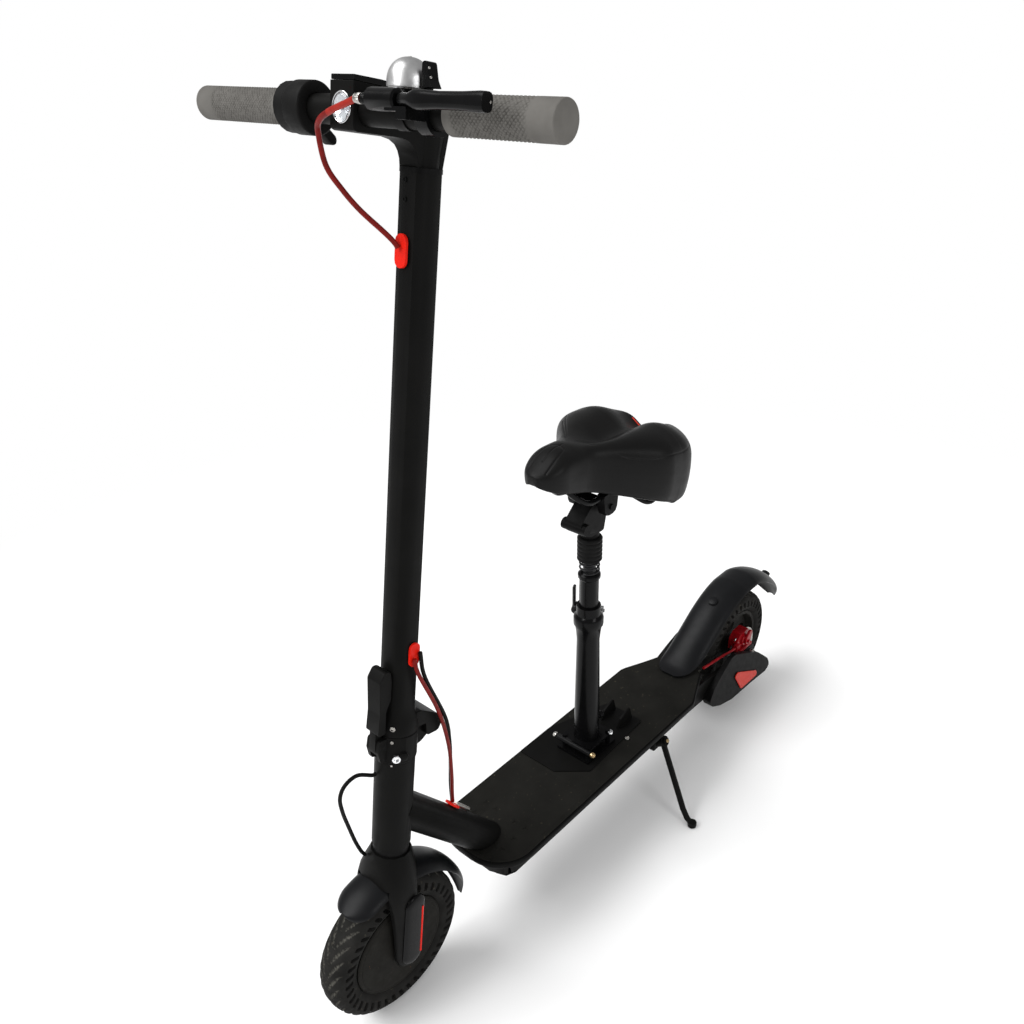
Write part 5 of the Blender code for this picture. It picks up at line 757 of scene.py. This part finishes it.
def cable_adjuster():
    """The knurled adjuster where the brake cable leaves its perch: its ribs stand out where the cosine of
    eighteen turns is above zero."""
    turn = around(72)
    rows = []
    for y, r, ribbed in ((0.0388, 0.0020, 0), (0.0386, 0.0036, 0), (0.0384, 0.0038, 1), (0.0352, 0.0038, 1),
                         (0.0350, 0.0030, 0), (0.0338, 0.0030, 0), (0.0336, 0.0034, 0), (0.0318, 0.0034, 0),
                         (0.0316, 0.0026, 0)):
        reach = r - 0.00025 * ribbed * (np.cos(18 * turn) < 0)
        rows.append(steer(0.9625, 0.100, y) + reach[:, None] * circle(turn, AHEAD, ALONG))
    skin("cable_adjuster", rows, STEEL, "stem", caps=(0, -1))


cable_adjuster()


# Seat post: spring and ribbed boot

COILS, COIL_RADIUS, WIRE = 7, 0.0132, 0.0014
BOOT_TOP, BOOT_FOOT, FOLDS = 0.5285, 0.4968, 5
low, high = 0.4745 + WIRE + 0.0003, 0.5315 - WIRE - 0.0003 - 0.0030
winding = np.linspace(0, 2 * math.pi * COILS, 32 * COILS + 1)
coil = circle(winding, COIL_RADIUS * X, COIL_RADIUS * Y) + POST_X * X
coil[:, 2] = low + (high - low) * winding / winding[-1]
spring = swept("seat_spring_coil", coil, WIRE, DARK_STEEL, "carrier", 12)
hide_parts("seat_spring")
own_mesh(spring)
boot_z = np.linspace(BOOT_TOP, BOOT_FOOT, 90)
folds = np.abs(np.cos((BOOT_TOP - boot_z) / (BOOT_TOP - BOOT_FOOT) * FOLDS * math.pi)) ** 0.6
boot = turned("seat_boot_bellows", [
    (0.0105, 0.5313), (0.0148, 0.5313), (0.0158, 0.5305), *zip(0.0160 + 0.0012 * folds, boot_z),
    (0.0166, 0.4965), (0.0154, 0.4965), (0.0152, 0.5285), (0.0105, 0.5290)],
              np.array((POST_X, 0, 0)), Z, RUBBER, "carrier", 96, True, 60)
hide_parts("seat_boot")


# Saddle

def saddle_rows(x, t):
    """Sections of the padding. Across the top, y is half the width times the sine of an angle from -90 to 90
    degrees and z rises from the belt line by the root of its cosine, less a bell-shaped valley in the middle;
    below, the side rounds in to the lower edge and the hollow underside."""
    x = x[:, None]
    share = np.sqrt(np.maximum(0, 1 - (np.maximum(0, x - 0.500) / 0.0371) ** 2))
    tail = np.sqrt(np.maximum(0, 1 - (np.maximum(0, 0.345 - x) / 0.0452) ** 2.4))
    half = (0.029 + 0.061 * (1 - ease(x, 0.368, 0.468))) * share * (0.42 + 0.58 * tail)
    rear_rise = 0.012 * (1 - ease(x, 0.300, 0.335))
    skirt = 0.5745 + 0.064 * (np.maximum(0, x - 0.350) / 0.170) ** 0.85 + rear_rise
    under = 0.6105 + 0.034 * ease(x, 0.400, 0.510)
    top = 0.6840 - 0.012 * ease(x, 0.490, 0.536) - 0.018 * (1 - ease(x, 0.300, 0.355))
    belt = skirt + 0.42 * (top - skirt)
    drawn = 0.25 + 0.75 * share
    top, skirt = belt + (top - belt) * drawn, belt + (skirt - belt) * drawn
    under = np.maximum(under, skirt + 0.001)
    valley = 0.025 * (1 - ease(x, 0.400, 0.480))
    angle = math.pi / 2 * np.sign(t) * (1 - (1 - np.abs(t)) ** 1.5)
    y_top = half * np.sin(angle)
    hollow = valley * np.exp(-(y_top / (0.018 + 0.12 * half)) ** 2)
    z_top = belt + (top - belt) * np.abs(np.cos(angle)) ** 0.5 - hollow
    edge = smooth_line([(1.0, 1.0), (0.985, 0.62), (0.94, 0.16), (0.86, 0.0), (0.77, 0.03)], 6)[1:]
    y_edge, z_edge = half * edge[:, 0], skirt + (belt - skirt) * edge[:, 1]
    y_low = half * np.array((0.70, 0.66, 0.45, 0.2, 0.0))
    z_low = under + 0 * y_low
    z_low[:, :1] -= (under - skirt) * 0.45
    lower_y, lower_z = np.hstack([y_edge, y_low]), np.hstack([z_edge, z_low])
    y = np.hstack([y_top, lower_y, -lower_y[:, -2::-1]])
    z = np.hstack([z_top, lower_z, lower_z[:, -2::-1]])
    return np.stack([x + 0 * y - MIDDLE_X, y, z], 2)


def outward_normals(points, crown):
    """The outward direction at each point of a grid: the cross product of its two headings, turned so that it
    points up at the crown, a row and a column of the grid."""
    normal = np.cross(np.gradient(points, axis=0), np.gradient(points, axis=1))
    length = np.linalg.norm(normal, axis=2)[..., None]
    normal = normal / np.maximum(length, 1e-12)
    return normal if normal[crown] @ Z > 0 else -normal


def seam_depth(points):
    """How far each point of the saddle's cover goes in: a sewn line is a narrow valley, bell-shaped about
    the line, whose depth follows from the point's distance to it."""
    panel = ((0.0582, 0.0172, 0.6767), (0.0440, 0.0350, 0.6700), (0.0315, 0.0544, 0.6600),
             (0.0187, 0.0664, 0.6559), (0.0045, 0.0776, 0.6549), (-0.0198, 0.0875, 0.6541),
             (-0.0444, 0.0876, 0.6499), (-0.0649, 0.0817, 0.6499))
    lobe = ((0.0582, -0.0172, 0.6767), (0.0283, -0.0438, 0.6745), (-0.0063, -0.0711, 0.6703))
    second = ((0.0613, -0.0171, 0.6772), (0.0363, -0.0404, 0.6734), (0.0108, -0.0631, 0.6702))
    front = ((0.0943, 0.0010, 0.6840), (0.0990, 0.0100, 0.6827), (0.1100, 0.0130, 0.6800),
             (0.1237, 0.0140, 0.6744), (0.1367, 0.0141, 0.6663))
    middle = ((0.0903, 0.0005, 0.6839), (0.1007, 0, 0.6839), (0.1136, 0, 0.6811), (0.1255, 0, 0.6751))
    depth = 0.0
    for line, side, deep in ((panel, 1, 0.0005), (lobe, 1, 0.0009), (second, 1, 0.0009), (front, 1, 0.0007),
                             (front, -1, 0.0007), (middle, 1, 0.0005)):
        line = smooth_line(np.array(line) * (1, side, 1), 6)
        apart = np.full(points.shape[:2], 1.0)
        for a, b in zip(line, line[1:]):
            share = np.clip((points - a) @ (b - a) / ((b - a) @ (b - a)), 0, 1)
            apart = np.minimum(apart, np.linalg.norm(points - a - share[..., None] * (b - a), axis=2))
        depth = depth + deep * np.exp(-(apart / 0.0012) ** 2)
    return depth


# The saddle's stations lie closer together where it rounds off at its ends
saddle_x = 0.418 + 0.118 * (
    np.sin(math.pi * (np.linspace(0, 1, 310) - 0.5) * 0.985) / math.sin(math.pi * 0.4925))
saddle_t = np.linspace(-1, 1, 231)
saddle_points = saddle_rows(saddle_x, saddle_t)
normals = outward_normals(saddle_points, (len(saddle_x) // 2, len(saddle_t) // 2))
upper_side = np.arange(saddle_points.shape[1]) < len(saddle_t)
saddle_points = saddle_points - normals * (seam_depth(saddle_points) * upper_side)[..., None]
saddle = skin("saddle_cover", saddle_points, VINYL, "saddle", caps=(0, -1), smooth=70)
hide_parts("saddle_cushion")


def on_saddle(x, t, lift):
    """Points lying on the cover, from distances along it and shares across it."""
    row = np.interp(x, saddle_x - MIDDLE_X, np.arange(len(saddle_x)))
    column = np.interp(t, saddle_t, np.arange(len(saddle_t)))
    i = np.clip(np.floor(row).astype(int), 0, len(saddle_x) - 2)
    j = np.clip(np.floor(column).astype(int), 0, len(saddle_t) - 2)
    a, b = (row - i)[:, None], (column - j)[:, None]
    spot = ((1 - a) * (1 - b) * saddle_points[i, j] + a * (1 - b) * saddle_points[i + 1, j]
            + (1 - a) * b * saddle_points[i, j + 1] + a * b * saddle_points[i + 1, j + 1])
    return spot + normals[i, j] * lift


swept("rear_piping", on_saddle(np.full(40, -0.0865), np.linspace(-0.16, -0.02, 40), 0.0003), 0.0009, PIPING,
      "saddle", 10)
for side, sign in (("left", 1), ("right", -1)):
    rail = smooth_line([(x - MIDDLE_X, sign * y, z) for x, y, z in (
        (0.5050, 0.0100, 0.6395), (0.4960, 0.0115, 0.6370), (0.4820, 0.0165, 0.6210),
        (0.4680, 0.0215, 0.6080), (0.4560, 0.0235, 0.6010), (0.4400, 0.0235, 0.5985),
        (0.4000, 0.0235, 0.5985), (0.3840, 0.0270, 0.5930), (0.3700, 0.0350, 0.5790),
        (0.3560, 0.0420, 0.5680), (0.3440, 0.0445, 0.5665), (0.3360, 0.0445, 0.5730),
        (0.3320, 0.0440, 0.5860), (0.3310, 0.0430, 0.6060))], 6)
    swept(f"saddle_rail_{side}", rail, 0.0037, GLOSSY, "saddle", 18)


# Small parts

screw("base_ring", "stem", steer(0.3501, 0.0196, 0.0152), 0.80 * AHEAD + 0.60 * Y, 0.0032, 0.0010, 0.62, DISC)
screw("base_small_screw", "steering", steer(0.3326, 0.0203, 0.0158), 0.79 * AHEAD + 0.61 * Y, 0.0020, 0.0008,
      0.5, DISC)
screw("base_bolt", "steering", steer(0.3110, 0.0162, 0.0198), 0.61 * AHEAD + 0.79 * Y, 0.0056, 0.0032, 0.55,
      CHROME, 0.8)
screw("head_pin", "chassis", steer(0.2993, 0.0188, 0.0152), 0.79 * AHEAD + 0.61 * Y, 0.0013, 0.0006, 0.3)
for name, body, spot in (("wing_dot_0", "bell_thumb", (0.9790, 0.0775, 0.0885)),
                         ("wing_dot_1", "bell_thumb", (0.9850, 0.0775, 0.0862)),
                         ("lever_tip_dot", "hand_lever", (0.9629, 0.1032, 0.1731))):
    screw(name, body, steer(*spot), Y, 0.0009, 0.0004, 0.3)

# Seat base, collar, kickstand, caliper and neck sleeve
for side, sign, metal in (("left", 1, BRASS), ("right", -1, STEEL)):
    turned(f"seat_bar_end_{side}", [
        (0, -0.001), (0.0046, -0.001), (0.0046, 0.0018), (0.0040, 0.0036), (0.0024, 0.0050), (0, 0.0055)],
           chassis(0.4535, sign * 0.035, 0.174), sign * Y, metal, "chassis", 32, smooth=60)
screw("seat_base_bolt", "chassis", (0.0068, 0.0270, 0.1760), Z, 0.0046, 0.0032, 0.5, CHROME, 0.6)
screw("strap_bolt", "chassis", (-0.0214, 0.0400, 0.1508), Z, 0.0040, 0.0026, 0.5, STEEL, 0.6)
away, beside = np.array((-0.8780, -0.4787, 0)), np.array((-0.4787, 0.8780, 0))
turned("collar_nut", [
    (0, 0), (0.0066, 0), (0.0069, 0.0006), (0.0069, 0.0092), (0.0060, 0.0102), (0, 0.0102)],
       np.array((POST_X, 0, 0.394)) + away * 0.0255 + beside * 0.0078, beside, CHROME, "chassis", 6,
       smooth=20)
stand_way = np.array((0.03, 0.82, 0.57))
stand_way /= np.linalg.norm(stand_way)
screw("stand_pin_end", "stand", chassis(0.308, 0.068, 0.119) + stand_way * 0.0109, stand_way, 0.0030, 0.0010,
      0.3, BRASS, 0.3)
screw("caliper_bolt", "chassis", (-0.3573, 0.0368, 0.1510), Y, 0.0036, 0.0014, 0.5, SILVER, 0.6)
sleeve_start = neck_point(0.7115) - neck_way * 0.006 + neck_up * 0.0040
swept("neck_sleeve_tube", smooth_line([
    sleeve_start, sleeve_start - neck_way * 0.018 - neck_up * 0.0001,
    sleeve_start - neck_way * 0.0362 - neck_up * 0.0006]), 0.0027, DISC, "chassis")


# Floor, background, lights and camera

FLOOR_HALF, FLOOR_Z = 12, -0.0006
FRAME_PIXELS = 1024


def make_floor():
    """A large pale plane under the wheels, which turns plain white with its distance from the scooter."""
    mesh = bpy.data.meshes.new("floor")
    mesh.from_pydata([(x * FLOOR_HALF, y * FLOOR_HALF, FLOOR_Z) for x, y in (
        (-1, -1), (1, -1), (1, 1), (-1, 1))], [], [(0, 1, 2, 3)])
    pale = bpy.data.materials.new("pale_floor")
    pale.use_nodes = True
    nodes, links = pale.node_tree.nodes, pale.node_tree.links
    shader = given(nodes["Principled BSDF"], {"Roughness": 0.9, "Specular IOR Level": 0.0})
    place = nodes.new("ShaderNodeTexCoord").outputs["Object"]
    noise = given(nodes.new("ShaderNodeTexNoise"), {"Scale": 3.0})
    ramp = given(nodes.new("ShaderNodeMapRange"), {"To Min": 0.92, "To Max": 0.94})
    links.new(place, noise.inputs["Vector"])
    links.new(noise.outputs["Fac"], ramp.inputs["Value"])
    links.new(ramp.outputs["Result"], shader.inputs["Base Color"])
    far = nodes.new("ShaderNodeVectorMath")
    far.operation = "LENGTH"
    links.new(place, far.inputs[0])
    away = given(nodes.new("ShaderNodeMapRange"), {"From Min": 0.9, "From Max": 1.8})
    away.interpolation_type = "SMOOTHSTEP"
    links.new(far.outputs["Value"], away.inputs["Value"])
    glow, both = nodes.new("ShaderNodeEmission"), nodes.new("ShaderNodeMixShader")
    links.new(away.outputs["Result"], both.inputs[0])
    links.new(shader.outputs["BSDF"], both.inputs[1])
    links.new(glow.outputs["Emission"], both.inputs[2])
    links.new(both.outputs["Shader"], nodes["Material Output"].inputs["Surface"])
    mesh.materials.append(pale)
    floor = bpy.data.objects.new("floor", mesh)
    bpy.context.scene.collection.objects.link(floor)


def make_world(ambient, gloss):
    """White where the camera looks at it, also through a clear piece, and two plain levels of light: one for
    what mirrors it and one for everything else."""
    world = bpy.data.worlds.new("studio")
    bpy.context.scene.world = world
    world.use_nodes = True
    nodes, links = world.node_tree.nodes, world.node_tree.links
    back = given(nodes["Background"], {"Color": (1, 1, 1, 1)})
    path, seen = nodes.new("ShaderNodeLightPath"), nodes.new("ShaderNodeMath")
    seen.operation = "MAXIMUM"
    links.new(path.outputs["Is Camera Ray"], seen.inputs[0])
    links.new(path.outputs["Is Transmission Ray"], seen.inputs[1])
    dimmed = given(nodes.new("ShaderNodeMapRange"), {"To Min": ambient, "To Max": gloss})
    level = given(nodes.new("ShaderNodeMapRange"), {"To Max": 1.0})
    links.new(path.outputs["Is Glossy Ray"], dimmed.inputs["Value"])
    links.new(dimmed.outputs["Result"], level.inputs["To Min"])
    links.new(seen.outputs[0], level.inputs["Value"])
    links.new(level.outputs["Result"], back.inputs["Strength"])


def stood(name, data, at, columns):
    """Puts a lamp or camera in the scene, its own three directions given as columns."""
    obj = bpy.data.objects.new(name, data)
    bpy.context.scene.collection.objects.link(obj)
    obj.matrix_world = Matrix.Translation(at) @ Matrix(np.stack(columns, 1).tolist()).to_4x4()
    return obj


def soft_lamp(name, at, target, size, watts):
    """A square soft lamp at one point, facing another."""
    data = bpy.data.lights.new(name, "AREA")
    data.size = size
    data.energy = watts
    back = np.asarray(at, float) - target
    back /= np.linalg.norm(back)
    side = np.cross(Z, back)
    side /= np.linalg.norm(side)
    stood(name, data, at, (side, np.cross(back, side), back))


def make_sun(direction, strength, spread):
    """A broad soft light from far away."""
    data = bpy.data.lights.new("broad_light", "SUN")
    data.energy = strength
    data.angle = math.radians(spread)
    back = np.asarray(direction, float) / np.linalg.norm(direction)
    stood("broad_light", data, (0, 0, 0), (*square_to(back), back))


def make_camera():
    """The camera as it was solved from the photograph, its focal length in pixels of the frame."""
    yaw, pitch, roll, focal = 3.9233, -0.6000, -0.0572, 892.515
    look = np.array((math.cos(yaw) * math.cos(pitch), math.sin(yaw) * math.cos(pitch), math.sin(pitch)))
    right = np.cross(look, Z)
    right /= np.linalg.norm(right)
    up = np.cross(right, look)
    tilted_right = math.cos(roll) * right + math.sin(roll) * up
    tilted_up = math.cos(roll) * up - math.sin(roll) * right
    data = bpy.data.cameras.new("camera")
    data.sensor_width = 36
    data.lens = data.sensor_width * focal / FRAME_PIXELS
    data.shift_x, data.shift_y = 0.019538, 0.092154
    bpy.context.scene.camera = stood("camera", data, (1.250532 - MIDDLE_X, 0.630888, 1.132021),
                                     (tilted_right, tilted_up, -look))


make_floor()
make_world(0.66, 0.38)
make_sun((0.75, -0.95, 1.75), 1.75, 38)
soft_lamp("front_softbox", (2.3, -0.55, 2.1), (0.0, 0.0, 0.3), 0.9, 26)
soft_lamp("side_softbox", (0.4, 2.6, 1.7), (-0.1, 0.0, 0.3), 0.9, 14)
make_camera()
bpy.context.scene.view_settings.view_transform = "Standard"
